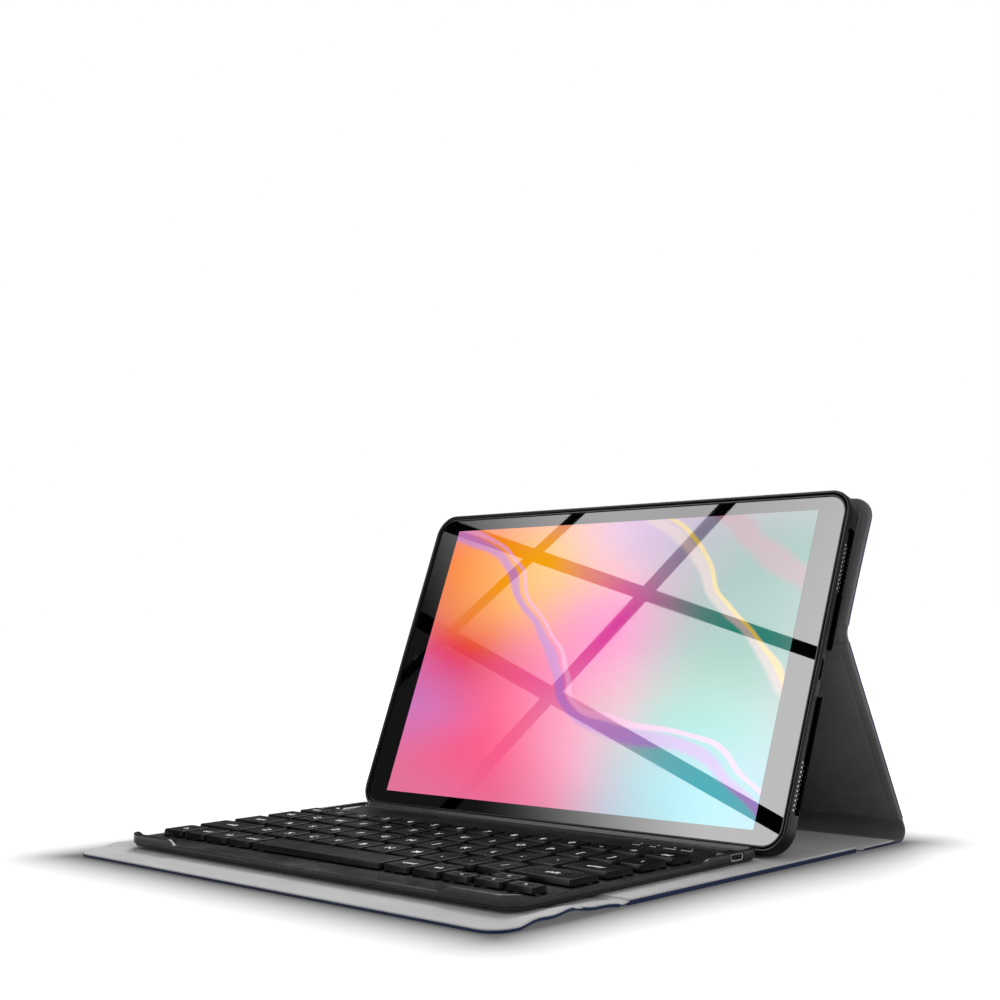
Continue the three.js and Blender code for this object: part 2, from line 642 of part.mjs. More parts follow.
function addSocketAndSwitch() {
  const side = KEYBOARD.width / 2;
  const { y, z, width, depth, sheet } = SOCKET;
  const mouth = side - FIT;
  const back = mouth - depth;
  const shell = sideBox(back, mouth, SOCKET, 0);
  const hollow = sideBox(back + sheet * 2, mouth + PAST, SOCKET, -sheet);
  const tongue = box(back + sheet, mouth - PAST, y - width / 4, y + width / 4,
    z - TONGUE.below, z + TONGUE.above);
  place(model, 'charging_socket', join(cut(shell, hollow), tongue), 'steel');
  const slider = sideBox(-side - SWITCH.proud, -side + DECK.wall + PAST, SWITCH, 0);
  place(model, 'power_switch', slider, 'plastic');
}

const FEET = [-1, 1].flatMap((x) => [FOOT_PLACE.fromEnd, KEYBOARD.depth - FOOT_PLACE.fromEnd].map((y) => ({
  name: `keyboard_foot_${y < KEYBOARD.depth / 2 ? 'front' : 'rear'}_${x < 0 ? 'left' : 'right'}`,
  x: x * (KEYBOARD.width / 2 - FOOT_PLACE.fromSide),
  y,
})));

function footDisc({ x, y }, margin, low, high) {
  const radius = FOOT.radius + margin;
  return new THREE.CylinderGeometry(radius, radius, high - low, FOOT.sides)
    .rotateX(Math.PI / 2).translate(x, y, (low + high) / 2);
}

function addCover() {
  const { low, floor, high, inset, wall } = COVER;
  const outer = plate(keyboardOutline(inset), low, high);
  const hollow = plate(keyboardOutline(inset + wall), low + floor, high + PAST);
  const recessTop = low + FOOT.recess - FOOT.gap;
  const recesses = FEET.map((foot) => footDisc(foot, FOOT.gap, low - PAST, recessTop));
  const pads = FEET.map((foot) => footDisc(foot, FOOT.gap + wall, low + FOOT.gap, high));
  place(model, 'keyboard_cover', cut(join(cut(outer, hollow), ...pads), ...recesses), 'plastic');
  for (const foot of FEET) {
    place(model, foot.name, footDisc(foot, 0, FOOT.low, FOOT.high), 'rubber');
  }
}

function addElectronics() {
  const low = COVER.low + COVER.floor + LAYER_GAP;
  const underKeys = KEY.low - KEY_TRAVEL - FIT;
  const reach = KEYBOARD.width / 2 - CIRCUIT_BOARD.side;
  const board = box(-reach, reach, CIRCUIT_BOARD.from, CIRCUIT_BOARD.to, low, underKeys);
  place(model, 'keyboard_circuit_board', board, 'circuit');
  const battery = box(-BATTERY.half, BATTERY.half, BATTERY.from, BATTERY.to, low, low + THIN_PART);
  place(model, 'keyboard_battery', battery, 'battery');
  const { half, from, to } = KEYBOARD_MAGNETS;
  for (const side of ['left', 'right']) {
    const x = KEYBOARD_MAGNETS[side];
    const magnet = box(x - half, x + half, from, to, low, low + THIN_PART);
    place(model, `keyboard_magnet_${side}`, magnet, 'steel');
  }
}

// ---------------------------------------------------------------- assembly

addFlap();
addClosureSpine();
addFrontPanel();
addRearSpine();
addStandPanel();
addUpperBack();
addShell();
addTablet();
addKeys();
addDeck();
addSocketAndSwitch();
addCover();
addElectronics();

const bounds = new THREE.Box3().setFromObject(model);
const centre = bounds.getCenter(new THREE.Vector3());
model.position.set(-centre.x, -centre.y, -bounds.min.z);

export default model;
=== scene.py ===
import json
import math

import bmesh
import bpy
from mathutils import Matrix, Vector


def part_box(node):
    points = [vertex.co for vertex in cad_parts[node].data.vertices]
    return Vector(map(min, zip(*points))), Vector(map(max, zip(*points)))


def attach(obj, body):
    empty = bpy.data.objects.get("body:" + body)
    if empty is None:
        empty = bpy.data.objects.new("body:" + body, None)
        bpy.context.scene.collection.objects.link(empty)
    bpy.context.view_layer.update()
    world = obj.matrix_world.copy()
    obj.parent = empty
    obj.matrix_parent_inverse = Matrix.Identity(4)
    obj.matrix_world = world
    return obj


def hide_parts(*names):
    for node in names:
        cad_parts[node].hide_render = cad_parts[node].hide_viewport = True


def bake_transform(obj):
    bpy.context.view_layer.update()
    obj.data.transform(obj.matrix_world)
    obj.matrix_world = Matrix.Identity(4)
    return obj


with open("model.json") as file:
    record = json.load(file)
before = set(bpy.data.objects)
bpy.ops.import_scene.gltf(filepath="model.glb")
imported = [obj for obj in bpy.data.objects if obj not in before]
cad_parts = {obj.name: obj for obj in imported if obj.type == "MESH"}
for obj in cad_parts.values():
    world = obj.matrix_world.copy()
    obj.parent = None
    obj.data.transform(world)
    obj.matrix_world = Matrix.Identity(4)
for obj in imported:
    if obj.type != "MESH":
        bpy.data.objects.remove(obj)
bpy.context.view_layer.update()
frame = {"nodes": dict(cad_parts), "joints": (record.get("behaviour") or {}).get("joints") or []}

# A folding tablet keyboard case with its keyboard and a tablet in its shell.
# Every length below is in millimetres and is turned into metres by MM.

MM = 0.001
SCENE = bpy.context.scene


# ---- frames

def joint(name):
    return next(found for found in frame["joints"] if found["name"] == name)


def leaning(origin, up):
    """A frame whose X runs to the right, whose Y runs along up and whose Z is the panel's inner normal."""
    side, up = Vector((1, 0, 0)), up.normalized()
    return Matrix.Translation(origin) @ Matrix((side, up, side.cross(up))).transposed().to_4x4()


FLAT = Matrix.Identity(4)


def local_box(node, place=FLAT):
    """A CAD node's lowest and highest corners in a frame, in millimetres."""
    inverse = place.inverted()
    points = [inverse @ vertex.co for vertex in frame["nodes"][node].data.vertices]
    low = Vector(min(p[i] for p in points) / MM for i in range(3))
    high = Vector(max(p[i] for p in points) / MM for i in range(3))
    return low, high


STAND_HINGE = Vector(joint("stand_hinge")["pos_m"])
FOLD_HINGE = Vector(joint("fold_hinge")["pos_m"])
GLASS_NORMAL = Vector(joint("tablet_slide")["axis"])
UP_TABLET = GLASS_NORMAL.cross(Vector((1, 0, 0)))
ON_TABLET = leaning(FOLD_HINGE, UP_TABLET)
ON_STAND = leaning(STAND_HINGE, FOLD_HINGE - STAND_HINGE)

# Turns that stand a flat outline up, with its heights running right, left or forwards.
FACING_RIGHT = Matrix(((0, 0, 1, 0), (1, 0, 0, 0), (0, 1, 0, 0), (0, 0, 0, 1)))
FACING_LEFT = Matrix(((0, 0, -1, 0), (1, 0, 0, 0), (0, 1, 0, 0), (0, 0, 0, 1)))
FACING_FRONT = Matrix(((1, 0, 0, 0), (0, 0, -1, 0), (0, 1, 0, 0), (0, 0, 0, 1)))


# ---- node materials

class Shader:
    """A small builder for one material's node tree."""

    def __init__(self, name):
        self.material = bpy.data.materials.new(name)
        self.material.use_nodes = True
        self.tree = self.material.node_tree
        self.tree.nodes.clear()
        self.output = self.tree.nodes.new("ShaderNodeOutputMaterial")

    def node(self, kind, settings=None, **inputs):
        made = self.tree.nodes.new("ShaderNode" + kind)
        for key, value in (settings or {}).items():
            setattr(made, key, value)
        for key, value in inputs.items():
            self.set(made.inputs[key.replace("_", " ")], value)
        return made

    def set(self, socket, value):
        if isinstance(value, bpy.types.NodeSocket):
            self.tree.links.new(value, socket)
        else:
            socket.default_value = value

    def math(self, operation, first, second=0.0):
        made = self.tree.nodes.new("ShaderNodeMath")
        made.operation = operation
        self.set(made.inputs[0], first)
        self.set(made.inputs[1], second)
        return made.outputs[0]

    def span(self, value, low, high, to_low=0.0, to_high=1.0, smooth=False):
        made = self.tree.nodes.new("ShaderNodeMapRange")
        made.interpolation_type = "SMOOTHSTEP" if smooth else "LINEAR"
        for index, item in enumerate((value, low, high, to_low, to_high)):
            self.set(made.inputs[index], item)
        return made.outputs[0]

    def mix(self, share, first, second):
        made = self.tree.nodes.new("ShaderNodeMix")
        made.data_type = "RGBA"
        self.set(made.inputs[0], share)
        self.set(made.inputs[6], first)
        self.set(made.inputs[7], second)
        return made.outputs[2]

    def place(self, scale=(1, 1, 1), turn=(0, 0, 0)):
        coordinates = self.node("TexCoord")
        mapping = self.node("Mapping", Vector=coordinates.outputs["Object"])
        mapping.inputs["Scale"].default_value = scale
        mapping.inputs["Rotation"].default_value = turn
        return mapping.outputs[0]

    def noise(self, vector, scale, detail=3.0, rough=0.55, distortion=0.0):
        made = self.node("TexNoise", Vector=vector, Scale=scale, Detail=detail,
                         Roughness=rough, Distortion=distortion)
        return made.outputs["Fac"]

    def cells(self, vector, scale):
        made = self.node("TexVoronoi", {"feature": "DISTANCE_TO_EDGE"}, Vector=vector, Scale=scale)
        return made.outputs["Distance"]

    def bump(self, height, strength, distance):
        return self.node("Bump", Height=height, Strength=strength, Distance=distance).outputs[0]

    def vector(self, operation, *inputs, result="Vector", **named):
        made = self.node("VectorMath", {"operation": operation}, **named)
        for socket, value in zip(made.inputs, inputs):
            self.set(socket, value)
        return made.outputs[result]

    def end(self, shader):
        self.tree.links.new(shader.outputs[0], self.output.inputs["Surface"])
        return self.material

    def surface(self, **inputs):
        return self.end(self.node("BsdfPrincipled", **inputs))

    def glow(self, strength):
        return self.end(self.node("Emission", Strength=strength))


def grey(value):
    return (value, value, value, 1.0)


def leather(name, dark, light, rough):
    """Fine wrinkled synthetic leather: pebbles, a network of creases with painted shade in them, and broad
    rubbed patches.
    """
    made = Shader(name)
    where = made.place()
    warp = made.noise(where, 180, 2, 0.5)
    swirl = made.node("TexNoise", Vector=where, Scale=220.0).outputs["Color"]
    bent = made.vector("ADD", where, made.vector("SCALE", swirl, Scale=0.0016))
    fold = made.span(made.cells(bent, 900.0), 0.0, 0.16, 0.0, 1.0, True)
    grain = made.span(made.cells(bent, 1900.0), 0.0, 0.3, 0.0, 1.0, True)
    height = made.math("ADD", made.math("MULTIPLY", fold, 0.6), made.math("MULTIPLY", grain, 0.3))
    height = made.math("ADD", height, made.math("MULTIPLY", warp, 0.5))
    patches = made.span(made.noise(where, 22, 4, 0.6), 0.35, 0.7)
    tint = made.mix(patches, dark, light)
    # Painted shade: the crease grooves are darkened up to half way to black.
    tint = made.mix(made.span(fold, 0.0, 1.0, 0.5, 0.0), tint, grey(0.0))
    shine = made.span(made.noise(where, 60, 3), 0.3, 0.7, rough - 0.06, rough + 0.08)
    bumps = made.bump(height, 0.9, 0.00026)
    return made.surface(Base_Color=tint, Roughness=shine, Normal=bumps, Specular_IOR_Level=0.34)


def microfibre(name, dark, light, sheen):
    """A short, dense brushed nap with painted shade in its hollows and faint streaks where it has been
    stroked.
    """
    made = Shader(name)
    where = made.place()
    nap = made.noise(where, 2600, 2, 0.7)
    fibres = made.noise(made.place((1.0, 4.5, 1.0), (0, 0, 0.5)), 900, 3, 0.6, 1.2)
    strokes = made.noise(made.place((1.0, 2.6, 1.0)), 26, 3, 0.6, 0.4)
    tint = made.mix(made.span(strokes, 0.3, 0.7), dark, light)
    # Painted shade: where the nap is low, in its hollows, the colour is pulled towards near black.
    tint = made.mix(made.span(nap, 0.25, 0.75, 0.16, 0.0), tint, grey(0.02))
    height = made.math("ADD", made.math("MULTIPLY", nap, 0.5), made.math("MULTIPLY", fibres, 0.5))
    bumps = made.bump(height, 0.5, 0.00012)
    return made.surface(Base_Color=tint, Roughness=0.92, Normal=bumps, Specular_IOR_Level=0.25,
                        Sheen_Weight=sheen, Sheen_Roughness=0.45)


def moulded(name, dark, light, rough, texture, specular=0.5, coat=0.0):
    """Moulded plastic with a spark-eroded texture, handling haze and faint flow marks."""
    made = Shader(name)
    where = made.place()
    fine = made.noise(where, 3200, 2, 0.6)
    haze = made.noise(where, 35, 4, 0.65)
    tint = made.mix(made.span(haze, 0.35, 0.65), dark, light)
    shine = made.span(haze, 0.3, 0.7, rough - 0.05, rough + 0.07)
    shine = made.math("ADD", shine, made.span(fine, 0.3, 0.7, -0.03, 0.03))
    bumps = made.bump(fine, texture, 0.00005)
    return made.surface(Base_Color=tint, Roughness=shine, Normal=bumps, Specular_IOR_Level=specular,
                        Coat_Weight=coat, Coat_Roughness=0.08)


def blasted_metal(name, colour, rough):
    """Fine bead-blasted anodised metal."""
    made = Shader(name)
    where = made.place()
    grains = made.noise(where, 5200, 2, 0.7)
    clouds = made.noise(where, 45, 3)
    tint = made.mix(made.span(clouds, 0.3, 0.7), colour, [c * 1.18 for c in colour[:3]] + [1])
    shine = made.span(grains, 0.2, 0.8, rough - 0.07, rough + 0.07)
    bumps = made.bump(grains, 0.25, 0.00003)
    return made.surface(Base_Color=tint, Metallic=1.0, Roughness=shine, Normal=bumps)


def printed_ink(name, colour):
    made = Shader(name)
    where = made.place()
    worn = made.span(made.noise(where, 1400, 3), 0.3, 0.6, 0.75, 1.0)
    tint = made.mix(worn, grey(0.2), colour)
    bumps = made.bump(made.noise(where, 4200, 2), 0.2, 0.00002)
    # The print also glows faintly: painted light that brightens it beyond what the lamps give.
    return made.surface(Base_Color=tint, Roughness=0.55, Normal=bumps, Emission_Color=colour,
                        Emission_Strength=0.25)


def circuit_lacquer(name):
    made = Shader(name)
    where = made.place()
    tracks = made.span(made.cells(where, 160.0), 0.02, 0.05)
    tint = made.mix(tracks, (0.02, 0.2, 0.07, 1), (0.01, 0.09, 0.03, 1))
    bumps = made.bump(tracks, 0.3, 0.00004)
    return made.surface(Base_Color=tint, Roughness=0.4, Normal=bumps)


def front_glass(name):
    """Clear cover glass with faint smears. It is bonded to the layers below, which carry its shine."""
    made = Shader(name)
    smears = made.span(made.noise(made.place((1, 2.5, 1)), 24, 4, 0.6, 0.5), 0.35, 0.8)
    clear = made.node("BsdfTransparent")
    made.set(clear.inputs["Color"], made.mix(smears, grey(1.0), grey(0.985)))
    return made.end(clear)


def bonded(made, **inputs):
    """A layer seen through the glass bonded to it: its own colour under one sharp reflection."""
    smears = made.noise(made.place((1, 2.5, 1)), 24, 4, 0.6, 0.5)
    shine = made.span(smears, 0.35, 0.8, 0.0, 0.03)
    return made.surface(Roughness=shine, IOR=1.9, Specular_IOR_Level=0.5, **inputs)


def bezel_ink(name):
    made = Shader(name)
    specks = made.noise(made.place(), 1500, 2)
    return bonded(made, Base_Color=made.mix(specks, grey(0.0006), grey(0.0016)))


# Soft patches of the wallpaper: place on the screen (0 to 1 each way), size, colour.
PATCHES = [
    ((0.28, 0.26), 0.74, (1.00, 0.13, 0.28)),
    ((0.02, 0.36), 0.28, (0.66, 0.20, 0.52)),
    ((0.15, 0.55), 0.28, (0.80, 0.03, 0.10)),
    ((0.10, 0.88), 0.44, (0.98, 0.20, 0.01)),
    ((0.34, 0.80), 0.42, (0.96, 0.42, 0.01)),
    ((0.58, 0.60), 0.42, (0.80, 0.06, 0.40)),
    ((0.62, 0.98), 0.34, (0.48, 0.24, 0.50)),
    ((0.58, 0.22), 0.34, (0.84, 0.28, 0.46)),
    ((0.95, 0.85), 0.52, (0.00, 0.17, 0.13)),
    ((0.88, 0.55), 0.42, (0.00, 0.22, 0.16)),
    ((0.82, 0.30), 0.34, (0.05, 0.40, 0.28)),
    ((0.86, 0.04), 0.44, (0.08, 0.46, 0.52)),
]

# Ribbons across it: height at the left edge, slope, swing, waves, phase, half width, colour.
RIBBONS = [
    (0.93, -0.98, 0.10, 1.3, 0.4, 0.030, (0.42, 0.16, 0.55)),
    (0.96, -0.96, 0.11, 1.3, 0.3, 0.014, (0.80, 0.34, 0.60)),
    (2.06, -1.66, 0.06, 1.0, 2.2, 0.045, (0.50, 0.36, 0.34)),
    (2.13, -1.70, 0.05, 1.0, 2.4, 0.018, (0.68, 0.46, 0.02)),
    (2.30, -1.55, 0.08, 0.9, 1.2, 0.060, (0.28, 0.09, 0.14)),
]


def wallpaper(name):
    """A lit screen with soft colour patches and silky ribbons, laid out much as in the photograph."""
    made = Shader(name)
    across = made.node("UVMap").outputs[0]
    waves = made.node("TexNoise", Vector=across, Scale=2.2, Detail=2.0, Roughness=0.5)
    pushed = made.vector("MULTIPLY_ADD", waves.outputs["Color"], (0.22, 0.22, 0.0), across)
    flow = made.vector("SUBTRACT", pushed, (0.11, 0.11, 0.0))
    colour = (0.52, 0.26, 0.42, 1)
    for (u, v), size, tint in PATCHES:
        gap = made.vector("DISTANCE", flow, (u, v, 0.0), result="Value")
        colour = made.mix(made.span(gap, size, 0.0, 0.0, 1.0, True), colour, (*tint, 1))
    x, y, _ = made.node("SeparateXYZ", Vector=flow).outputs
    for start, slope, swing, count, phase, half, tint in RIBBONS:
        angle = made.math("ADD", made.math("MULTIPLY", x, count * 2 * math.pi), phase)
        line = made.math("MULTIPLY", made.math("SINE", angle), swing)
        line = made.math("ADD", line, made.math("MULTIPLY", x, slope))
        away = made.math("ABSOLUTE", made.math("SUBTRACT", y, made.math("ADD", line, start)))
        share = made.span(away, half, half * 0.35, 0.0, 0.75, True)
        colour = made.mix(share, colour, (*tint, 1))
    grain = made.noise(across, 900, 2)
    colour = made.mix(made.span(grain, 0.3, 0.7, 0.0, 0.04), colour, grey(0.6))
    vivid = made.node("HueSaturation", Saturation=1.04, Color=colour).outputs[0]
    return bonded(made, Base_Color=grey(0.0), Emission_Color=vivid, Emission_Strength=0.97)


NAVY = leather("navy_leather", (0.0088, 0.026, 0.098, 1), (0.0125, 0.036, 0.132, 1), 0.47)
LIGHT_LINING = microfibre("light_microfibre", grey(0.48), grey(0.57), 0.25)
DARK_LINING = microfibre("charcoal_microfibre", grey(0.095), grey(0.135), 0.12)
SHELL_BLACK = moulded("shell_plastic", grey(0.0012), grey(0.002), 0.12, 0.05, 0.22)
KEYBOARD_BLACK = moulded("keyboard_plastic", grey(0.021), grey(0.030), 0.22, 0.1, 0.3)
KEY_BLACK = moulded("keycap_plastic", grey(0.0035), grey(0.006), 0.26, 0.1, 0.13)
RUBBER = moulded("foot_rubber", grey(0.006), grey(0.011), 0.8, 0.9, 0.3)
LENS = moulded("indicator_lens", grey(0.012), grey(0.02), 0.12, 0.05, 0.5, 0.6)
BEZEL_BLACK = bezel_ink("bezel_ink")
MATT_BLACK = moulded("backing_film", grey(0.001), grey(0.002), 0.9, 0.1, 0.0)
TABLET_METAL = blasted_metal("tablet_metal", (0.035, 0.036, 0.038, 1), 0.34)
STEEL = blasted_metal("socket_steel", (0.52, 0.52, 0.53, 1), 0.28)
FOIL = blasted_metal("battery_foil", (0.5, 0.52, 0.55, 1), 0.42)
LEGEND_WHITE = printed_ink("legend_ink", grey(0.82))
GLUE = moulded("glue_film", (0.6, 0.58, 0.48, 1), (0.68, 0.66, 0.55, 1), 0.45, 0.3)
CIRCUIT = circuit_lacquer("circuit_lacquer")
GLASS = front_glass("cover_glass")
SCREEN = wallpaper("lit_screen")


# ---- mesh building

SHARP_ANGLE = 32


def rounded_outline(x0, x1, y0, y1, radii, step=None, turns=7):
    """A function of an inset that gives a rounded rectangle's points, anticlockwise from above.
    Radii run front-left, front-right, rear-right, rear-left, or are one number for all. Every inset
    has as many points."""
    radii = radii if isinstance(radii, tuple) else (radii,) * 4
    corners = [(x0, y0, 1, 1, math.pi), (x1, y0, -1, 1, 1.5 * math.pi),
               (x1, y1, -1, -1, 0.0), (x0, y1, 1, -1, 0.5 * math.pi)]
    sides = [x1 - x0, y1 - y0, x1 - x0, y1 - y0]
    counts = [max(1, round(side / step)) if step else 1 for side in sides]

    def points(inset):
        arcs = []
        for (x, y, sx, sy, start), radius in zip(corners, radii):
            bend = max(radius - inset, 0.02)
            centre = (x + sx * (inset + bend), y + sy * (inset + bend))
            arcs.append([(centre[0] + bend * math.cos(start + turn * math.pi / 2 / turns),
                          centre[1] + bend * math.sin(start + turn * math.pi / 2 / turns))
                         for turn in range(turns + 1)])
        made = []
        for index, arc in enumerate(arcs):
            made.extend(arc)
            a, b = arc[-1], arcs[(index + 1) % 4][0]
            for k in range(1, counts[index]):
                share = k / counts[index]
                made.append((a[0] + (b[0] - a[0]) * share, a[1] + (b[1] - a[1]) * share))
        return made
    return points


def box_outline(low, high, radii, step=None, turns=7, grow=0.0, plane="xy"):
    """The rounded outline of a box in a plane, grown by a margin."""
    a, b = plane
    return rounded_outline(getattr(low, a) - grow, getattr(high, a) + grow,
                           getattr(low, b) - grow, getattr(high, b) + grow, radii, step, turns)


def round_in(radius, z_edge, toward, steps=5):
    """Rings from a flat face out to a side: quarter of a circle. toward is +1 if the face is above."""
    return [(radius * (1 - math.sin(a)), z_edge + toward * radius * (math.cos(a) - 1))
            for a in (k * math.pi / 2 / steps for k in range(steps + 1))]


def stack(outline, rings):
    """A closed body from rings of (inset, height); a height may be a function of x and y."""
    mesh = bmesh.new()
    rows = []
    for inset, height in rings:
        row = []
        for x, y in outline(inset):
            z = height(x, y) if callable(height) else height
            row.append(mesh.verts.new((x, y, z)))
        rows.append(row)
    for low, high in zip(rows, rows[1:]):
        for k in range(len(low)):
            after = (k + 1) % len(low)
            mesh.faces.new((low[k], low[after], high[after], high[k]))
    mesh.faces.new(list(reversed(rows[0])))
    mesh.faces.new(rows[-1])
    return mesh


def prism(outline, low, high):
    return stack(outline, [(0.0, low), (0.0, high)])


def slab_rings(low, high, edge_low, edge_high, steps=4):
    """Rings of a flat slab with rounded lower and upper edges."""
    return (round_in(edge_low, low, -1, steps)
            + list(reversed(round_in(edge_high, high, 1, steps))))


def box_mesh(x0, x1, y0, y1, z0, z1):
    mesh = bmesh.new()
    bmesh.ops.create_cube(mesh, size=1.0)
    size = Vector((x1 - x0, y1 - y0, z1 - z0))
    centre = Vector((x0 + x1, y0 + y1, z0 + z1)) / 2
    for vertex in mesh.verts:
        vertex.co = Vector(vertex.co[i] * size[i] for i in range(3)) + centre
    return mesh


def cylinder_mesh(centre, axis, radius, length, sides=16):
    mesh = bmesh.new()
    turn = Vector((0, 0, 1)).rotation_difference(Vector(axis)).to_matrix().to_4x4()
    bmesh.ops.create_cone(mesh, cap_ends=True, segments=sides, radius1=radius, radius2=radius,
                          depth=length, matrix=Matrix.Translation(centre) @ turn)
    return mesh


def merged(meshes):
    """One bmesh holding all the given ones, which are freed."""
    whole = bmesh.new()
    for mesh in meshes:
        held = bpy.data.meshes.new("held")
        mesh.to_mesh(held)
        mesh.free()
        whole.from_mesh(held)
        bpy.data.meshes.remove(held)
    return whole


def shade(data):
    """Smooth shading that keeps the sharp edges."""
    data.polygons.foreach_set("use_smooth", [True] * len(data.polygons))
    data.set_sharp_from_angle(angle=math.radians(SHARP_ANGLE))


def solid(name, mesh, material, place=FLAT):
    """Turns a bmesh in millimetres, in the frame place, into an object in metres."""
    data = bpy.data.meshes.new(name)
    bmesh.ops.recalc_face_normals(mesh, faces=mesh.faces)
    mesh.to_mesh(data)
    mesh.free()
    data.transform(place @ Matrix.Scale(MM, 4))
    obj = bpy.data.objects.new(name, data)
    SCENE.collection.objects.link(obj)
    data.materials.append(material)
    shade(data)
    return obj


def carve(obj, *tools):
    """Cuts the tools, bmeshes in the object's own frame and millimetres, out of the object."""
    for mesh, place in tools:
        cutter = solid("cutter", mesh, obj.data.materials[0], place)
        modifier = obj.modifiers.new("cut", "BOOLEAN")
        modifier.operation = "DIFFERENCE"
        modifier.solver = "EXACT"
        modifier.object = cutter
        graph = bpy.context.evaluated_depsgraph_get()
        data = bpy.data.meshes.new_from_object(obj.evaluated_get(graph))
        obj.modifiers.clear()
        obj.data = data
        bpy.data.objects.remove(cutter)
    shade(obj.data)


def hide(obj, *rays):
    """Keeps an object out of some kinds of rays."""
    for kind in rays:
        setattr(obj, "visible_" + kind, False)


def coat_node(node, material):
    """Gives a CAD node that stays in the model its material."""
    data = frame["nodes"][node].data
    data.materials.clear()
    data.materials.append(material)


def finish(obj, body, slot, *nodes):
    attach(obj, body)
    if nodes:
        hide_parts(*nodes)
    return obj


def piece(name, mesh, material, body, slot, *nodes, place=FLAT):
    return finish(solid(name, mesh, material, place), body, slot, *nodes)


# ---- folio

HALF_WIDTH = local_box("flap_skin")[1].x
BOARDED = 1.25
SOFT_CLOSURE = 0.85
SOFT_REAR = 0.8
PANEL_EDGE = 0.7
HEM = 4.0
GROOVE = {"inset": 3.6, "width": 0.9, "depth": 0.28}
CAP_INSETS = (5.4, 10.0, 15.0)
OVERLAP = 2.2
BLEND_PAST = 0.4
CURL = {"radius": 4.0, "overlap": 4.0, "blend_short": 3.0}
FOLD_RADIUS = 6.0
FLARE = 2.2
STRIP_COLUMNS, SAG_STEPS, ARC_STEPS = 84, 8, 14
LIGHT = (LIGHT_LINING, "light_lining")
DARK = (DARK_LINING, "dark_lining")

WAVE = {"height": 2.0, "from_x": 112.0, "from_edge": 12.0}
WAVE_END = local_box("closure_spine_skin")[1]
WAVE_START = local_box("flap_skin")[0].y + WAVE["from_edge"]


def closure_wave(x, y):
    """How far the soft closure flap and spine lift off the desk near their ends, in millimetres."""
    reach = max(0.0, (abs(x) - WAVE["from_x"]) / (WAVE_END.x - WAVE["from_x"]))
    share = (y - WAVE_START) / (WAVE_END.y + 1.0 - WAVE_START)
    if not 0.0 < share < 1.0:
        return 0.0
    hump = math.sin(math.pi * share ** 0.8) * (1.0 + 0.25 * math.sin(5 * math.pi * share))
    return WAVE["height"] * hump * reach * reach * (3 - 2 * min(reach, 1.0))


def lift(objects):
    for obj in objects:
        for vertex in obj.data.vertices:
            vertex.co.z += closure_wave(vertex.co.x / MM, vertex.co.y / MM) * MM


def raised(height):
    return Matrix.Translation((0, 0, height * MM))


def panel(name, place, half, radii, lining, body=None, end=None, hemmed=False):
    """A panel of the folio: leather outside with a debossed border, and lining inside, both
    wrapped round the edge. half is half its thickness, and Y runs along the panel."""
    low, high = local_box(name + "_skin", place)
    y0, y1 = low.y, high.y if end is None else end
    outline = rounded_outline(-HALF_WIDTH, HALF_WIDTH, y0, y1, radii, 3.0, 8)
    nodes = [node for node in frame["nodes"] if node.startswith(name + "_")]
    seam = half * (0.0 if hemmed else 0.4)
    inner = [inset for inset in CAP_INSETS if inset < (y1 - y0) / 2 - 0.8]
    inner.append((y1 - y0) / 2 - 0.6)
    start, width, sunk = GROOVE["inset"], GROOVE["width"], GROOVE["depth"] - half
    outer = [(inset, -half) for inset in reversed(inner)]
    outer += [(start + width, -half), (start + width * 0.7, sunk), (start + width * 0.3, sunk),
              (start, -half), (PANEL_EDGE, -half)]
    outer += round_in(PANEL_EDGE, -half, -1)[1:] + [(0.0, seam), (0.6, seam)]
    outer += [(inset, seam) for inset in inner]
    skin = piece(name + "_outer", stack(outline, outer), NAVY, body or name, "leather",
                 *[node for node in nodes if node.endswith("_skin")], place=place)
    over = [(inset, seam + 0.02) for inset in reversed(inner)]
    over += [(0.5, seam + 0.02), (0.06, seam + 0.02)]
    over += [(0.06 + inset, z) for inset, z in round_in(PANEL_EDGE, half, 1)[::-1]]
    if hemmed:
        over += [(HEM - 0.3, half), (HEM, half - 0.1), (HEM + 0.35, half - 0.1), (HEM + 0.7, half)]
    over += [(inset, half) for inset in inner if inset > HEM + 1.0]
    top = piece(name + "_inner", stack(outline, over), lining[0], body or name, lining[1],
                *[node for node in nodes if not node.endswith("_skin")], place=place)
    return [skin, top]


def strip_mesh(half_width, path, thickness, low_share, high_share):
    """One layer of a strip swept along X. path lists the (y, z) points of the strip's middle."""
    mesh = bmesh.new()
    rows, count = [], STRIP_COLUMNS
    for index, (y, z) in enumerate(path):
        before = Vector(path[max(index - 1, 0)])
        after = Vector(path[min(index + 1, len(path) - 1)])
        along = (after - before).normalized()
        normal = Vector((-along.y, along.x))
        row = []
        for k in range(count + 1):
            x = -half_width + 2 * half_width * k / count
            edge = 1.0 - 0.35 * max(0.0, 1.0 - (half_width - abs(x)) / 0.8)
            for share in (low_share, high_share):
                offset = normal * share * thickness / 2 * edge
                row.append(mesh.verts.new((x, y + offset.x, z + offset.y)))
        rows.append(row)
    for first, second in zip(rows, rows[1:]):
        for a in range(0, 2 * count, 2):
            mesh.faces.new((first[a], first[a + 2], second[a + 2], second[a]))
            mesh.faces.new((first[a + 1], second[a + 1], second[a + 3], first[a + 3]))
        for side in (0, 2 * count):
            mesh.faces.new((first[side], second[side], second[side + 1], first[side + 1]))
    for row in (rows[0], rows[-1]):
        for a in range(0, 2 * count, 2):
            mesh.faces.new((row[a], row[a + 1], row[a + 3], row[a + 2]))
    return mesh


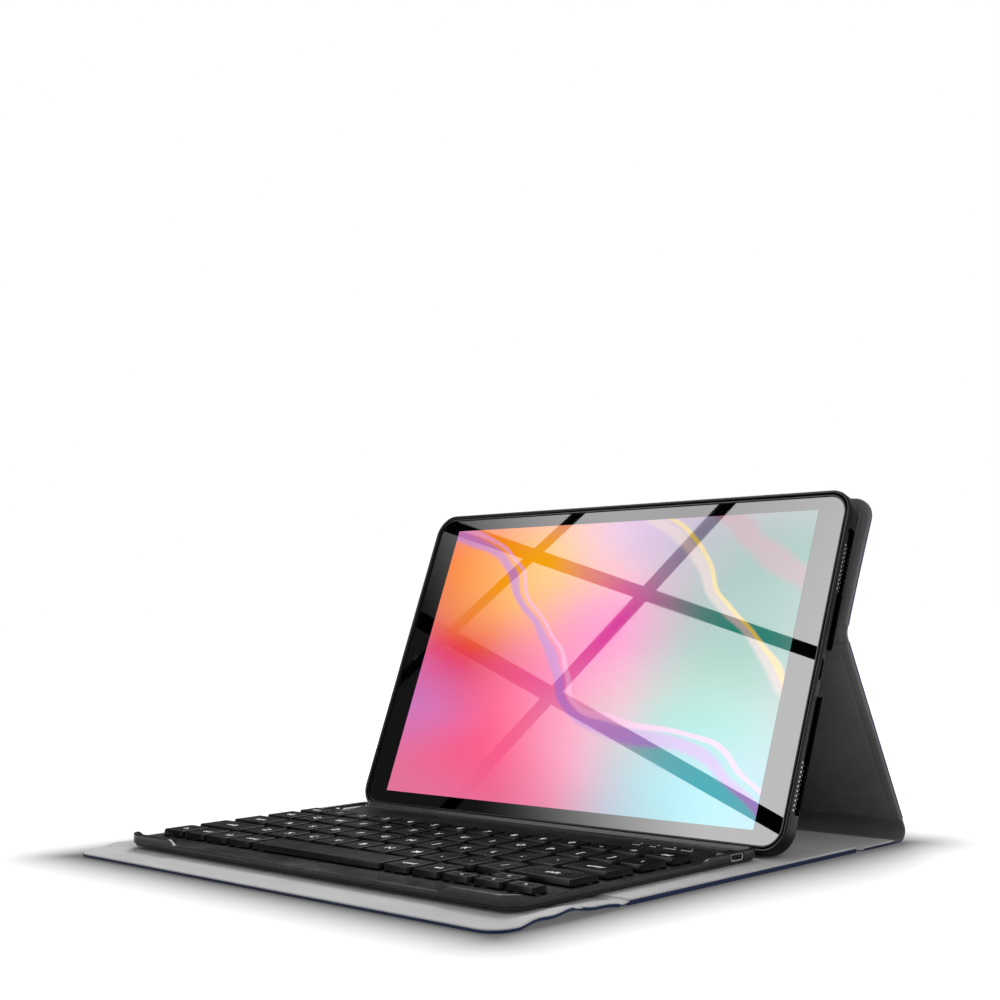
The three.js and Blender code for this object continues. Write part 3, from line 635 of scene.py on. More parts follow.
def crease(name, narrower, path, thickness, lining):
    """A soft strip across a joint: leather outside and lining inside."""
    layers = [("outer", -1.0, 0.0, NAVY, "leather"), ("inner", 0.0, 1.0, *lining)]
    strips = []
    for layer, low_share, high_share, material, slot in layers:
        mesh = strip_mesh(HALF_WIDTH - narrower, path, thickness, low_share, high_share)
        strips.append(solid(f"{name}_{layer}", mesh, material))
    return strips


def bend(strips, first, second, start, end):
    """Bakes the strips' transforms into their meshes; the strips do not bend. first, second, start and end
    are not used.
    """
    for obj in strips:
        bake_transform(obj)


def sagging(y0, y1, half_a, half_b, sag):
    """A crease's path from one flat panel onto the next, sagging between them."""
    path = [(y0 - OVERLAP, half_a), (y0, half_a)]
    for k in range(1, SAG_STEPS):
        share = k / SAG_STEPS
        middle = half_a + (half_b - half_a) * share
        path.append((y0 + (y1 - y0) * share, middle - sag * math.sin(math.pi * share)))
    return path + [(y1, half_b), (y1 + OVERLAP, half_b)]


def smooth_path(start, turn, end, radius):
    """Straight from start towards turn, an arc of the given radius, and straight on to end."""
    first = (turn - start).normalized()
    second = (end - turn).normalized()
    angle = first.angle_signed(second)
    side = Vector((-first.y, first.x)) * (1 if angle < 0 else -1)
    entry = turn - first * radius * math.tan(abs(angle) / 2)
    centre = entry + side * radius
    arc = [centre + Matrix.Rotation(-angle * k / ARC_STEPS, 2) @ (entry - centre)
           for k in range(ARC_STEPS + 1)]
    return [tuple(point) for point in (start, *arc, end)]


def make_front_folio():
    """The closure flap, the closure spine and the panel under the keyboard."""
    radii = (9.0, 9.0, 0.6, 0.6)
    waved = panel("flap", raised(SOFT_CLOSURE), SOFT_CLOSURE, radii, LIGHT)
    waved += panel("closure_spine", raised(SOFT_CLOSURE), SOFT_CLOSURE, 0.6, LIGHT)
    panel("front_panel", raised(BOARDED), BOARDED, 1.2, LIGHT)
    gaps = [("flap_crease", "flap", "closure_spine", SOFT_CLOSURE),
            ("closure_crease", "closure_spine", "front_panel", BOARDED)]
    for name, first, second, half in gaps:
        y0 = local_box(first + "_skin")[1].y
        y1 = local_box(second + "_skin")[0].y
        strips = crease(name, 0.15, sagging(y0, y1, SOFT_CLOSURE, half, 0.25), 1.25, LIGHT)
        lift(strips)
        middle = (SOFT_CLOSURE + half) / 2
        bend(strips, first, second, (y0 - BLEND_PAST, middle), (y1 + BLEND_PAST, middle))
    lift(waved)


def make_rear_folio():
    """The rear spine, the curl up into the stand panel, the fold, and the upper back panel."""
    hinge, fold = STAND_HINGE.yz / MM, FOLD_HINGE.yz / MM
    up, up_tablet = (fold - hinge).normalized(), UP_TABLET.yz
    clear = local_box("stand_panel_skin", ON_STAND)[0].y
    flat_end = hinge.x - clear
    panel("rear_spine", raised(SOFT_REAR), SOFT_REAR, 0.6, LIGHT, end=flat_end - 1.0)
    panel("stand_panel", ON_STAND, BOARDED, 0.8, DARK, hemmed=True)
    upper = panel("upper_back", ON_TABLET, BOARDED, (0.8, 0.8, 10.0, 10.0), DARK, "tablet_holder",
                  hemmed=True)
    low, high = local_box("upper_back_skin", ON_TABLET)
    inverse = ON_TABLET.inverted()
    for vertex in [vertex for obj in upper for vertex in obj.data.vertices]:
        share = ((inverse @ vertex.co).y / MM - low.y) / (high.y - low.y)
        vertex.co -= GLASS_NORMAL * FLARE * MM * max(share, 0.0) ** 1.5

    y0 = local_box("front_panel_skin")[1].y
    y1 = local_box("rear_spine_skin")[0].y
    strips = crease("rear_crease", 0.15, sagging(y0, y1, BOARDED, SOFT_REAR, 0.2), 1.2, LIGHT)
    bend(strips, "front_panel", "rear_spine", (y0 - BLEND_PAST, SOFT_REAR), (y1 + BLEND_PAST, SOFT_REAR))

    start = Vector((flat_end - CURL["overlap"], SOFT_REAR))
    end = hinge + up * (clear + CURL["overlap"])
    path = smooth_path(start, Vector((hinge.x, SOFT_REAR)), end, CURL["radius"])
    strips = crease("stand_curl", 0.1, path, 1.5, DARK)
    bend(strips, "rear_spine", "stand_panel", (flat_end, SOFT_REAR),
         hinge + up * (clear - CURL["blend_short"]))

    reach = low.y + OVERLAP
    path = smooth_path(fold - up * reach, fold, fold + up_tablet * reach, FOLD_RADIUS)
    strips = crease("fold_crease", 0.02, path, 1.5, DARK)
    reach = low.y + BLEND_PAST
    bend(strips, "stand_panel", "tablet_holder", fold - up * reach, fold + up_tablet * reach)


# ---- shell and tablet

SHELL = {"wall": 1.5, "floor": 1.5, "corner": 10.5, "back_round": 4.0, "lip": 0.6}
SLOT = {"from": 16.55, "to": 136.55, "low": 0.8, "high": 6.5, "corner": 2.2}
NOTCH = {"from": 65.55, "to": 85.55, "corner": 1.2}
BUTTON_ROOM = 5.0
TABLET = {"corner": 9.0, "glass_corner": 8.2, "back_round": 2.6, "ledge": 4.0}
SPEAKERS = {"starts": (16.0, 108.0), "holes": 11, "pitch": 1.9, "rows": (-0.85, -1.95), "radius": 0.5}
PORT = {"from": 69.5, "to": 79.0, "half": 1.6, "corner": 1.55, "depth": 4.0}
JACK = 62.0
SCREEN_INSET = 1.5


def make_shell():
    """The hard shell, with its rounded rim, side openings and button opening."""
    low, high = local_box("tablet_shell", ON_TABLET)
    wall, floor, lip = SHELL["wall"], low.z + SHELL["floor"], SHELL["lip"]
    outline = box_outline(low, high, SHELL["corner"], 6.0, 12)
    rings = [(wall + 0.9, floor), (wall + 0.3, floor + 0.12), (wall, floor + 0.6)]
    rings += [(wall / 2 * (1 + math.cos(angle)), high.z - lip * (1 - math.sin(angle)))
              for angle in (math.pi * k / 8 for k in range(9))]
    rings += reversed(round_in(SHELL["back_round"], low.z, -1, 8))
    body = solid("tablet_shell_moulding", stack(outline, rings), SHELL_BLACK, ON_TABLET)

    deep, out = high.x - 3.0, high.x + 2.0
    slot_low, slot_high = floor + SLOT["low"], floor + SLOT["high"]
    corner = SLOT["corner"]
    slot = rounded_outline(low.y + SLOT["from"], low.y + SLOT["to"], slot_low, slot_high, corner, turns=5)
    notch = rounded_outline(low.y + NOTCH["from"], low.y + NOTCH["to"], low.z - 2.0, slot_low + 2.0,
                            NOTCH["corner"], turns=4)
    first = local_box("tablet_power_button", ON_TABLET)[0].x - BUTTON_ROOM
    last = local_box("tablet_volume_button", ON_TABLET)[1].x + BUTTON_ROOM
    top_slot = rounded_outline(first, last, slot_low, slot_high, corner, turns=5)
    carve(body, (prism(slot, deep, out), ON_TABLET @ FACING_RIGHT),
          (prism(notch, deep - 3.0, out), ON_TABLET @ FACING_RIGHT),
          (prism(top_slot, -high.y - 2.0, -high.y + 3.0), ON_TABLET @ FACING_FRONT))
    finish(body, "tablet_holder", "shell_plastic", "tablet_shell")
    coat_node("glue_sheet", GLUE)


def make_tablet_body():
    """The metal housing with its speaker holes, charging port and jack."""
    low, high = local_box("tablet_housing", ON_TABLET)
    glass_low, glass_high = local_box("tablet_glass", ON_TABLET)
    middle = (low.z + high.z) / 2
    outline = box_outline(low, high, TABLET["corner"], turns=12)
    rim, seat = glass_high.z - 0.15, glass_low.z - 0.25
    rings = round_in(TABLET["back_round"], low.z, -1, 8)
    rings += [(0.0, rim - 0.6), (0.18, rim - 0.15), (0.5, rim), (0.78, rim), (0.78, seat),
              (TABLET["ledge"], seat)]
    body = solid("tablet_body", stack(outline, rings), TABLET_METAL, ON_TABLET)
    tools, gauze = [], []
    radius, across = SPEAKERS["radius"], (1, 0, 0)
    for start in SPEAKERS["starts"]:
        for k in range(SPEAKERS["holes"]):
            for index, row in enumerate(SPEAKERS["rows"]):
                along = low.y + start + SPEAKERS["pitch"] * (k + 0.5 * (1 - index))
                tools.append(cylinder_mesh((high.x, along, middle + row), across, radius, 2.4, 8))
                gauze.append(cylinder_mesh((high.x - 0.32, along, middle + row), across, 0.46, 0.6, 8))
    tools.append(cylinder_mesh((high.x, low.y + JACK, middle), across, radius, 2.4, 12))
    port = rounded_outline(low.y + PORT["from"], low.y + PORT["to"], middle - PORT["half"],
                           middle + PORT["half"], PORT["corner"], turns=6)
    port = prism(port, high.x - PORT["depth"], high.x + 1.0)
    carve(body, (merged(tools), ON_TABLET), (port, ON_TABLET @ FACING_RIGHT))
    finish(body, "tablet", "tablet_metal", "tablet_housing")
    piece("speaker_gauze", merged(gauze), STEEL, "tablet", "socket_steel", place=ON_TABLET)


def make_tablet_front():
    """The bonded layers of the front, from the backing up to the cover glass, and the camera."""
    low, high = local_box("tablet_glass", ON_TABLET)
    cover = box_outline(low, high, TABLET["glass_corner"], turns=12)
    ink = stack(cover, [(0.1, low.z - 0.15), (0.1, low.z)])
    bezel = piece("tablet_bezel", ink, BEZEL_BLACK, "tablet", "tablet_glass", place=ON_TABLET)
    backing = stack(cover, [(0.1, low.z - 0.23), (0.1, low.z - 0.19)])
    piece("display_backing", backing, MATT_BLACK, "tablet", "display", place=ON_TABLET)
    pane = stack(cover, [(0.0, low.z + 0.2), (0.0, high.z - 0.3), (0.12, high.z - 0.1), (0.4, high.z),
                         (0.8, high.z)])
    glass = piece("tablet_cover_glass", pane, GLASS, "tablet", "tablet_glass", "tablet_glass",
                  place=ON_TABLET)

    first, last = local_box("tablet_display", ON_TABLET)
    x0, x1 = first.x + SCREEN_INSET, last.x - SCREEN_INSET
    y0, y1 = first.y + SCREEN_INSET, last.y - SCREEN_INSET
    lit = box_mesh(x0, x1, y0, y1, low.z - 0.05, low.z + 0.08)
    screen = piece("tablet_screen", lit, SCREEN, "tablet", "display", "tablet_display", place=ON_TABLET)
    layer = screen.data.uv_layers.new(name="UVMap")
    inverse = ON_TABLET.inverted()
    for loop in screen.data.loops:
        at = inverse @ screen.data.vertices[loop.vertex_index].co / MM
        layer.data[loop.index].uv = ((at.x - x0) / (x1 - x0), (at.y - y0) / (y1 - y0))
    hide(screen, "diffuse", "glossy")
    hide(glass, "glossy")
    hide(bezel, "glossy")

    housing_low, housing_high = local_box("tablet_housing", ON_TABLET)
    centre = Vector(((low.x + x0) / 2, (housing_low.y + housing_high.y) / 2, low.z))
    eye = [cylinder_mesh(centre + Vector((0, 0, above)), (0, 0, 1), radius, 0.06, 24)
           for radius, above in ((1.5, 0.03), (0.8, 0.08))]
    piece("tablet_camera", merged(eye), LENS, "tablet", "tablet_glass", place=ON_TABLET)


def make_tablet_buttons():
    for name, body in (("tablet_power_button", "power_button"), ("tablet_volume_button", "volume_button")):
        low, high = local_box(name, ON_TABLET)
        shape = box_outline(low, high, 1.05, turns=6, plane="xz")
        rings = [(0.0, -low.y), (0.0, -high.y + 0.3), (0.08, -high.y + 0.1), (0.3, -high.y)]
        piece(name + "_cap", stack(shape, rings), TABLET_METAL, body, "tablet_metal", name,
              place=ON_TABLET @ FACING_FRONT)


# ---- keyboard

KEY_PITCH = 15.9
KEYCAP = {"corner": 1.3, "taper": 0.5, "lip": 0.3}
DISH = 0.16
FLAT_DISH = 0.03
PRINT_DROP = DISH - 0.018
LETTER_SIZE, WORD_SIZE, ARROW_SIZE, LABEL_SIZE = 5.0, 3.8, 1.3, 1.6
ROW_LEGENDS = {
    "key_block_numbers": "1234567890-=",
    "key_block_top_letters": "QWERTYUIOP[]",
    "key_block_home_letters": "ASDFGHJKL;'",
    "key_block_bottom_letters": "ZXCVBNM,./",
}
KEY_LEGENDS = {
    "key_escape": "esc", "key_backspace": "del", "key_tab": "tab", "key_backslash": "\\",
    "key_caps_lock": "caps", "key_enter": "enter", "key_shift_left": "shift",
    "key_shift_right": "shift", "key_fn": "fn", "key_control": "ctrl", "key_option_left": "alt",
    "key_command_left": "cmd", "key_command_right": "cmd", "key_option_right": "alt",
}
ARROWS = {"key_left": math.pi, "key_down": 1.5 * math.pi, "key_right": 0.0, "key_up": 0.5 * math.pi}
LABELS = ("CAPS", "PAIR", "CHARGE", "POWER")

DECK = {"front_corner": 8.0, "rear_corner": 4.0, "wall": 2.2, "floor": 5.9, "cavity": 5.1}
RIM = {"dip": 6.1, "raised": 8.4, "rear": 7.6, "front_x": 80.0, "ramp_x": 4.5, "corner_y": 5.0,
       "ramp_y": 4.0, "rear_y": 99.0, "rear_ramp": 6.0, "edge": 2.6}
KEY_WINDOW = 0.42
FIT = 0.35
SWITCH_TRAVEL = 2.0


def ease(value):
    share = min(1.0, max(0.0, value))
    return share * share * (3 - 2 * share)


def keycap_mesh(x0, x1, y0, y1, low, high, depth):
    """A tapered keycap with a rounded top edge and a dish of the given depth."""
    outline = rounded_outline(x0, x1, y0, y1, KEYCAP["corner"], turns=4)
    taper, lip = KEYCAP["taper"], KEYCAP["lip"]
    rings = [(0.9, low + 0.3), (0.9, low), (0.12, low), (0.0, low + 0.12), (taper * 0.6, high - lip - 0.3)]
    rings += [(taper * 0.6 + 0.1 + inset, z) for inset, z in reversed(round_in(lip, high, 1, 3))]
    span = min(x1 - x0, y1 - y0) / 2
    for share in (0.08, 0.18, 0.28, 0.38, 0.48, 0.6, 0.96):
        rings.append((taper + lip + (span - taper - lip) * share, high - depth * ease(share / 0.48)))
    return stack(outline, rings)


def text_mesh(body, size, x, y, z):
    """A word lying flat at a point, as a thin raised print."""
    curve = bpy.data.curves.new("legend", "FONT")
    curve.body = body
    curve.size = size
    curve.align_x = "CENTER"
    curve.align_y = "CENTER"
    curve.extrude = 0.012
    curve.resolution_u = 3
    curve.offset = 0.006 * size
    holder = bpy.data.objects.new("legend", curve)
    SCENE.collection.objects.link(holder)
    graph = bpy.context.evaluated_depsgraph_get()
    graph.update()
    data = bpy.data.meshes.new_from_object(holder.evaluated_get(graph))
    mesh = bmesh.new()
    mesh.from_mesh(data)
    mesh.transform(Matrix.Translation((x, y, z)))
    bpy.data.objects.remove(holder)
    bpy.data.curves.remove(curve)
    bpy.data.meshes.remove(data)
    return mesh


def arrow_mesh(angle, size, x, y, z):
    """A triangle lying flat at a point, as a thin raised print."""
    mesh = bmesh.new()
    corners = [(-0.5, -0.55), (0.6, 0.0), (-0.5, 0.55)]
    points = [Matrix.Rotation(angle, 2) @ Vector(corner) * size for corner in corners]
    low, high = [[mesh.verts.new((x + p.x, y + p.y, height)) for p in points]
                 for height in (z - 0.01, z + 0.014)]
    mesh.faces.new(low[::-1])
    mesh.faces.new(high)
    for k in range(3):
        after = (k + 1) % 3
        mesh.faces.new((low[k], low[after], high[after], high[k]))
    return mesh


def block_caps(node):
    """The rectangles of a block's keycaps, from its box and the number of its legends."""
    low, high = local_box(node)
    count = len(ROW_LEGENDS[node])
    width = high.x - low.x - (count - 1) * KEY_PITCH
    return [(low.x + k * KEY_PITCH, low.x + k * KEY_PITCH + width, low.y, high.y) for k in range(count)]


def make_keys():
    """All keycaps and their legends. Returns the rectangles of the caps."""
    wells = []
    for node, legends in ROW_LEGENDS.items():
        low, high = local_box(node)
        rectangles = block_caps(node)
        wells += rectangles
        caps = [keycap_mesh(*rectangle, low.z, high.z, DISH) for rectangle in rectangles]
        words = [text_mesh(letter, LETTER_SIZE, (x0 + x1) / 2, (y0 + y1) / 2 + 0.4, high.z - PRINT_DROP)
                 for (x0, x1, y0, y1), letter in zip(rectangles, legends)]
        piece(node + "_caps", merged(caps), KEY_BLACK, node, "keycap", node)
        piece(node + "_legends", merged(words), LEGEND_WHITE, node, "keycap")
    for node in [name for name in frame["nodes"] if name.startswith("key_") and name not in ROW_LEGENDS]:
        low, high = local_box(node)
        wells.append((low.x, high.x, low.y, high.y))
        depth = FLAT_DISH if node == "key_space" else DISH
        cap = keycap_mesh(low.x, high.x, low.y, high.y, low.z, high.z, depth)
        piece(node + "_cap", cap, KEY_BLACK, node, "keycap", node)
        at = ((low.x + high.x) / 2, (low.y + high.y) / 2, high.z - PRINT_DROP)
        if node in KEY_LEGENDS:
            word = text_mesh(KEY_LEGENDS[node], WORD_SIZE, *at)
        elif node in ARROWS:
            word = arrow_mesh(ARROWS[node], ARROW_SIZE, *at)
        else:
            continue
        piece(node + "_legend", word, LEGEND_WHITE, node, "keycap")
    return wells


def rim_height(low, high):
    """The rim's height round the keyboard: raised at the front corners, dipping along the front
    and the sides, and raised again at the rear, with a short ramp at each step."""
    dip, raised_by, rear_by = RIM["dip"], RIM["raised"] - RIM["dip"], RIM["rear"] - RIM["dip"]

    def height(x, y):
        along = y - low.y
        if along < RIM["edge"] and abs(x) < high.x - 3.0:
            return dip + raised_by * ease((abs(x) - RIM["front_x"]) / RIM["ramp_x"])
        if along > high.y - low.y - RIM["edge"]:
            return RIM["rear"]
        front = raised_by * ease(1.0 - (along - RIM["corner_y"]) / RIM["ramp_y"])
        return dip + front + rear_by * ease((along - RIM["rear_y"]) / RIM["rear_ramp"])
    return height


def make_deck(wells):
    """The keyboard's upper case: stepped rim, key windows, socket opening, hood and indicators."""
    low, high = local_box("keyboard_deck")
    front, rear, wall = DECK["front_corner"], DECK["rear_corner"], DECK["wall"]
    outline = box_outline(low, high, (front, front, rear, rear), 1.2, 10)
    top = rim_height(low, high)
    floor, cavity = DECK["floor"], DECK["cavity"]

    def below_rim(drop):
        return lambda x, y: top(x, y) - drop

    def toward_floor(share):
        return lambda x, y: floor + (top(x, y) - floor) * share

    rings = [(wall, cavity), (wall, low.z), (0.35, low.z), (0.1, low.z + 0.12), (0.0, low.z + 0.4)]
    rings += [(0.0, below_rim(0.55)), (0.06, below_rim(0.25)), (0.22, below_rim(0.06)), (0.5, top),
              (1.3, top), (1.6, toward_floor(0.9)), (2.0, toward_floor(0.55)), (2.5, toward_floor(0.2)),
              (3.1, toward_floor(0.04)), (3.8, floor)]
    body = solid("keyboard_deck_moulding", stack(outline, rings), KEYBOARD_BLACK)
    gap = KEY_WINDOW
    holes = [prism(rounded_outline(x0 - gap, x1 + gap, y0 - gap, y1 + gap, 1.6, turns=3),
                   cavity - 1.0, floor + 3.0) for x0, x1, y0, y1 in wells]
    socket_low, socket_high = local_box("charging_socket")
    port = prism(box_outline(socket_low, socket_high, 0.8, turns=4, grow=FIT, plane="yz"),
                 socket_low.x - 0.5, high.x + 1.0)
    switch_low, switch_high = local_box("power_switch")
    reach = switch_high + Vector((0, SWITCH_TRAVEL, 0))
    slide = prism(box_outline(switch_low, reach, 0.5, turns=3, grow=FIT, plane="yz"),
                  low.x - 1.0, switch_high.x + 0.4)
    lens_low, lens_high = local_box("indicator_window")
    recess = prism(box_outline(lens_low, lens_high, 0.6, turns=4, grow=0.1),
                   lens_low.z - 0.1, lens_high.z + 2.0)
    carve(body, (merged(holes + [recess]), FLAT), (port, FACING_RIGHT), (slide, FACING_RIGHT))
    finish(body, "keyboard", "keyboard_plastic", "keyboard_deck")

    hood = rounded_outline(socket_low.x - 2.0, high.x - 1.2, socket_low.y - 1.2, socket_high.y + 1.2,
                           1.0, turns=4)
    rings = [(0.0, floor - 0.5), (0.0, floor + 0.1), (0.9, socket_high.z + 0.25),
             (1.3, socket_high.z + 0.4)]
    cover = solid("charging_socket_hood", stack(hood, rings), KEYBOARD_BLACK)
    inside = box_mesh(socket_low.x - 0.6, high.x, socket_low.y - 0.2, socket_high.y + 0.2, floor - 1.0,
                      socket_high.z + 0.1)
    carve(cover, (inside, FLAT))
    finish(cover, "keyboard", "keyboard_plastic")
    strip = stack(box_outline(lens_low, lens_high, 0.5, turns=4),
                  slab_rings(lens_low.z, lens_high.z, 0.05, 0.08, 2))
    piece("indicator_strip", strip, LENS, "keyboard", "indicator_lens", "indicator_window")
    marks = []
    for k, word in enumerate(LABELS):
        x = lens_low.x + (k + 0.5) * (lens_high.x - lens_low.x) / len(LABELS)
        marks.append(text_mesh(word, LABEL_SIZE, x, lens_low.y - 2.0, floor + 0.005))
        marks.append(cylinder_mesh((x, (lens_low.y + lens_high.y) / 2, lens_high.z + 0.003),
                                   (0, 0, 1), 0.45, 0.02, 12))
    piece("indicator_labels", merged(marks), LEGEND_WHITE, "keyboard", "keycap")


def make_cover(wells):
    """The keyboard's bottom cover, its feet, and the rubber sheet with a dome under each keycap."""
    low, high = local_box("keyboard_cover")
    outline = box_outline(low, high, (7.2, 7.2, 3.2, 3.2), 6.0, 10)
    rings = [(1.4, low.z + 0.9), (1.4, high.z), (0.2, high.z), (0.0, high.z - 0.15)]
    rings += reversed(round_in(0.7, low.z, -1, 4))
    piece("keyboard_bottom_cover", stack(outline, rings), KEYBOARD_BLACK, "keyboard", "keyboard_plastic",
          "keyboard_cover")

    sheet = [box_mesh(low.x + 4.0, high.x - 4.0, low.y + 12.0, low.y + 104.0, 4.86, 4.92)]
    sheet += [cylinder_mesh(((x0 + x1) / 2, (y0 + y1) / 2, 4.98), (0, 0, 1), 2.4, 0.16, 16)
              for x0, x1, y0, y1 in wells]
    piece("key_dome_sheet", merged(sheet), RUBBER, "keyboard", "foot_rubber")

    for node in [name for name in frame["nodes"] if name.startswith("keyboard_foot")]:
        low, high = local_box(node)
        outline = box_outline(low, high, (high.x - low.x) / 2, turns=12)
        rings = [(0.5, low.z), (0.15, low.z + 0.05), (0.0, low.z + 0.2), (0.0, high.z)]
        piece(node + "_pad", stack(outline, rings), RUBBER, "keyboard", "foot_rubber", node)


def make_socket():
    low, high = local_box("charging_socket")
    mouth = box_outline(low, high, (1.0, 1.0, 0.5, 0.5), turns=5, plane="yz")
    rings = [(0.4, low.x + 0.8), (0.4, high.x - 0.05), (0.3, high.x), (0.08, high.x), (0.0, high.x - 0.1),
             (0.0, low.x)]
    piece("charging_socket_shell", stack(mouth, rings), STEEL, "keyboard", "socket_steel",
          "charging_socket", place=FACING_RIGHT)
    tongue = box_mesh(low.x + 0.6, high.x - 1.0, low.y + 1.9, high.y - 1.9, low.z + 1.2, low.z + 1.65)
    piece("charging_socket_tongue", tongue, RUBBER, "keyboard", "keyboard_plastic")


def make_switch():
    """The power switch's slider, with three grip ridges."""
    low, high = local_box("power_switch")
    slider = [stack(box_outline(low, high, 0.3, turns=3, plane="yz"),
                    [(0.25, -high.x), (0.0, -high.x), (0.0, -low.x - 0.3), (0.12, -low.x)])]
    slider += [box_mesh(at - 0.15, at + 0.15, low.z + 0.15, high.z - 0.15, -low.x - 0.15, -low.x + 0.12)
               for at in (low.y + 1.0 + k for k in range(3))]
    piece("power_switch_slider", merged(slider), KEYBOARD_BLACK, "switch_slider", "keyboard_plastic",
          "power_switch", place=FACING_LEFT)


def make_keyboard():
    wells = make_keys()
    make_deck(wells)
    make_cover(wells)
    make_socket()
    make_switch()
    for node, material in (("circuit_board", CIRCUIT), ("battery", FOIL), ("magnet_left", STEEL),
                           ("magnet_right", STEEL)):
        coat_node("keyboard_" + node, material)


# ---- floor, lights and camera

# The floor's painted shadow round the folio's footprint: how far it reaches in metres, how dark it gets
# and the curve of its fall; then the floor's glow.
SHADOW_REACH = 0.025
SHADOW_DEPTH = 0.85
SHADOW_CURVE = 1.2
FLOOR_GLOW = 0.78
FLOOR_SIZE = 9.0
BACKDROP_RADIUS = 6.0


def footprint_distance(look):
    """How far a point of the floor is from the folio's footprint, in metres."""
    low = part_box("flap_skin")[0]
    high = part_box("stand_panel_skin")[1]
    split = look.node("SeparateXYZ", Vector=look.node("NewGeometry").outputs["Position"])
    gaps = []
    for axis in (0, 1):
        middle, half = (low[axis] + high[axis]) / 2, (high[axis] - low[axis]) / 2
        off = look.math("ABSOLUTE", look.math("SUBTRACT", split.outputs[axis], middle))
        gap = look.math("MAXIMUM", look.math("SUBTRACT", off, half), 0.0)
        gaps.append(look.math("MULTIPLY", gap, gap))
    return look.math("SQRT", look.math("ADD", *gaps))


def make_backdrop():
    """A white surround that only the camera sees."""
    mesh = bmesh.new()
    bmesh.ops.create_uvsphere(mesh, u_segments=48, v_segments=24, radius=BACKDROP_RADIUS / MM)
    backdrop = solid("studio_backdrop", mesh, Shader("studio_backdrop").glow(1.0))
    hide(backdrop, "diffuse", "glossy", "transmission", "shadow")


def make_floor():
    """A white floor that glows faintly so it reads white, with a painted shadow: its colour and its glow
    darken softly towards the folio's footprint.
    """
    look = Shader("studio_floor")
    tint = look.mix(look.noise(look.place(), 3, 3), grey(0.56), grey(0.6))
    # Painted shadow: near the footprint, the floor's colour and glow are both pulled down towards black.
    reach = look.math("POWER", look.math("DIVIDE", footprint_distance(look), SHADOW_REACH), SHADOW_CURVE)
    fall = look.math("EXPONENT", look.math("MULTIPLY", reach, -1.0))
    outside_painted_shadow = look.math("SUBTRACT", 1.0, look.math("MULTIPLY", fall, SHADOW_DEPTH))
    look.surface(Base_Color=look.mix(outside_painted_shadow, grey(0.0), tint), Roughness=0.8, Specular_IOR_Level=0.0,
                 Emission_Color=grey(1.0), Emission_Strength=look.math("MULTIPLY", outside_painted_shadow, FLOOR_GLOW))
    mesh = bmesh.new()
    bmesh.ops.create_grid(mesh, x_segments=1, y_segments=1, size=1.0)
    floor = solid("studio_floor", mesh, look.material)
    floor.scale = (FLOOR_SIZE / MM, FLOOR_SIZE / MM, 1)
    floor.location.z = -0.0002


def studio_card(name, material, place, size, at=(0.0, 0.0, 0.0), angle=0.0):
    """A flat card in metres that only reflections see, laid out in the frame place."""
    mesh = bmesh.new()
    bmesh.ops.create_grid(mesh, x_segments=1, y_segments=1, size=0.5)
    mesh.transform(Matrix.Scale(1 / MM, 4) @ Matrix.Translation(at)
                   @ Matrix.Rotation(math.radians(angle), 4, "Z") @ Matrix.Diagonal((*size, 1, 1)))
    card = solid(name, mesh, material)
    card.matrix_world = place
    hide(card, "camera", "diffuse", "shadow", "transmission")


# The window that the glass reflects: where it stands, its size, and its dark bars.
WINDOW_DISTANCE = 1.4
WINDOW_SIZE = (1.9, 1.5)
WINDOW_GLOW = (0.06, 3.45)
WINDOW_FADE = (-0.20, 0.10)
WINDOW_SLANT = (0.65, 0.76)
WINDOW_EDGE = (-0.02, -0.24)
WINDOW_EDGE_GAIN = 1.45
BAR_LENGTH = 2.0
BARS = [
    ("bar_high", (-0.010, 0.112), -12.5, 0.018),
    ("bar_low", (-0.039, -0.060), -2.3, 0.022),
    ("bar_left", (0.148, 0.018), 105.4, 0.012),
    ("bar_right", (0.001, 0.010), 101.0, 0.016),
]


def make_window(camera_at):
    """A glowing window with crossed bars, placed where the middle of the glass mirrors it to the
    camera. Only reflections see it."""
    low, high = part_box("tablet_glass")
    middle = (low + high) / 2
    sight = (middle - camera_at).normalized()
    mirrored = sight - 2 * sight.dot(GLASS_NORMAL) * GLASS_NORMAL
    side = mirrored.cross(Vector((0, 0, 1))).normalized()
    place = Matrix((side, side.cross(mirrored), -mirrored)).transposed().to_4x4()
    place.translation = middle + mirrored * WINDOW_DISTANCE
    pane = Shader("window_glow")
    x, y, _ = pane.node("SeparateXYZ", Vector=pane.node("TexCoord").outputs["Object"]).outputs
    along = pane.math("SUBTRACT", pane.math("MULTIPLY", y, WINDOW_SLANT[1]),
                      pane.math("MULTIPLY", x, WINDOW_SLANT[0]))
    strength = pane.math("MULTIPLY", pane.span(along, *WINDOW_FADE, *WINDOW_GLOW, True),
                         pane.span(x, *WINDOW_EDGE, 1.0, WINDOW_EDGE_GAIN))
    dark = Shader("window_bar").surface(Base_Color=grey(0.0), Roughness=1.0, Specular_IOR_Level=0.0)
    studio_card("window", pane.glow(strength), place, WINDOW_SIZE)
    for name, (x, y), angle, width in BARS:
        studio_card(name, dark, place, (BAR_LENGTH, width), (x, y, 0.01), angle)


WORLD_LIGHT = 0.42

# The dark card behind the left of the desk, which the flat plastic reflects.
CARD = {"at": (-1.1, 1.1, 0.32), "size": (2.6, 0.72), "glow": 0.07}


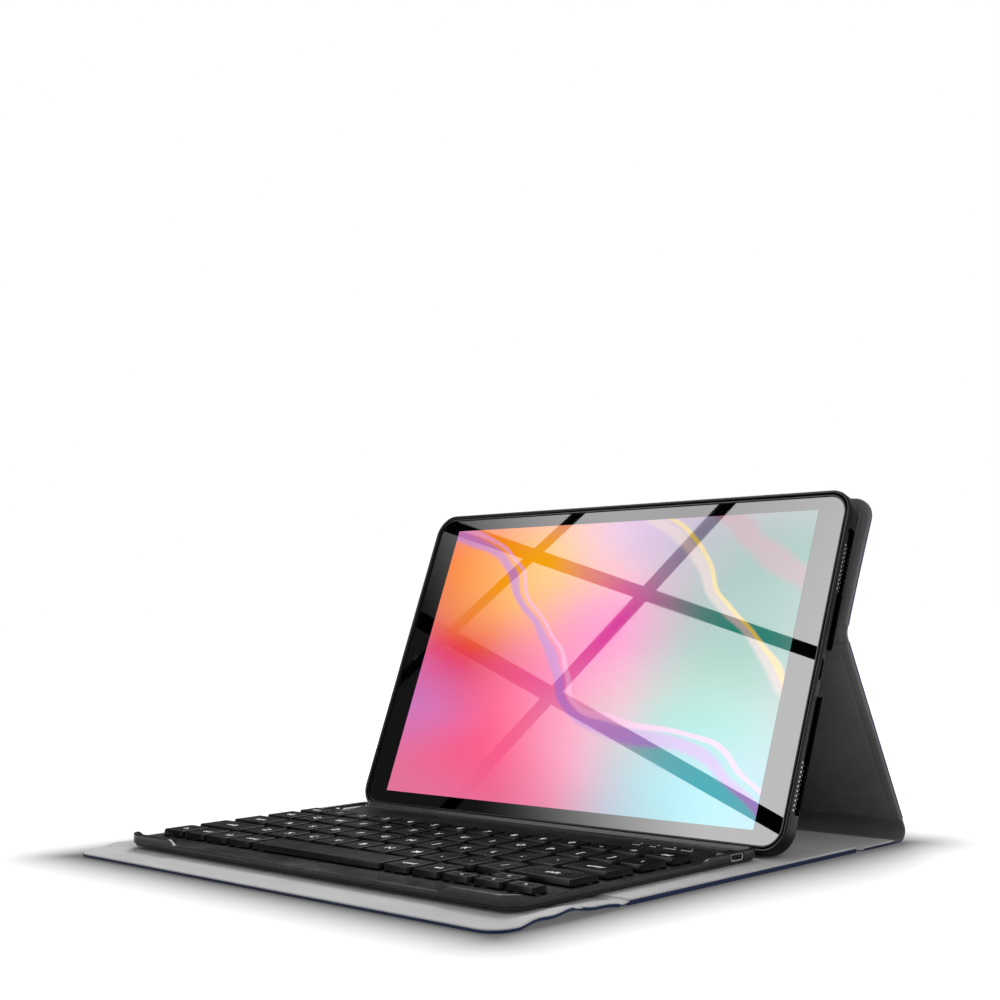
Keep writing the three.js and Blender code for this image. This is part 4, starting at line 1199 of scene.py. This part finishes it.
def make_card():
    look = Shader("studio_card")
    cloth = look.span(look.noise(look.place(), 4.0), 0.3, 0.7, CARD["glow"] * 0.7, CARD["glow"] * 1.3)
    at = Vector(CARD["at"])
    place = Matrix.Translation(at) @ (-at).to_track_quat("Z", "Y").to_matrix().to_4x4()
    studio_card("studio_card", look.glow(cloth), place, CARD["size"])


LAMPS = [
    ("key_light", (-0.7, 0.9, 1.3), 0.9, 22.0),
    ("fill_light", (1.3, -0.5, 0.9), 0.8, 5.0),
]
LAMP_TARGET = Vector((0, 0, 0.03))


def make_lights():
    world = bpy.data.worlds.new("studio")
    SCENE.world = world
    world.use_nodes = True
    background = world.node_tree.nodes["Background"]
    background.inputs["Color"].default_value = grey(1.0)
    background.inputs["Strength"].default_value = WORLD_LIGHT
    for name, at, size, power in LAMPS:
        data = bpy.data.lights.new(name, "AREA")
        data.shape = "SQUARE"
        data.size = size
        data.energy = power
        lamp = bpy.data.objects.new(name, data)
        lamp.location = at
        lamp.rotation_mode = "QUATERNION"
        lamp.rotation_quaternion = (LAMP_TARGET - Vector(at)).to_track_quat("-Z", "Y")
        SCENE.collection.objects.link(lamp)


CAMERA = {"at": (0.4917, -0.4768, 0.1072), "yaw": 45.15, "pitch": 3.25, "roll": -1.22, "lens": 58.27}


def make_camera():
    data = bpy.data.cameras.new("camera")
    data.lens = CAMERA["lens"]
    data.sensor_width = 36.0
    data.clip_start = 0.01
    data.clip_end = 50.0
    camera = bpy.data.objects.new("camera", data)
    camera.location = CAMERA["at"]
    turn = (Matrix.Rotation(math.radians(CAMERA["yaw"]), 4, "Z")
            @ Matrix.Rotation(math.radians(90 + CAMERA["pitch"]), 4, "X")
            @ Matrix.Rotation(math.radians(CAMERA["roll"]), 4, "Z"))
    camera.rotation_mode = "QUATERNION"
    camera.rotation_quaternion = turn.to_quaternion()
    SCENE.collection.objects.link(camera)
    SCENE.camera = camera
    return camera


# ---- assembly

SCENE.view_settings.view_transform = "Standard"
view_camera = make_camera()
make_front_folio()
make_rear_folio()
make_shell()
make_tablet_body()
make_tablet_front()
make_tablet_buttons()
make_keyboard()
make_backdrop()
make_floor()
make_lights()
make_card()
make_window(view_camera.location.copy())
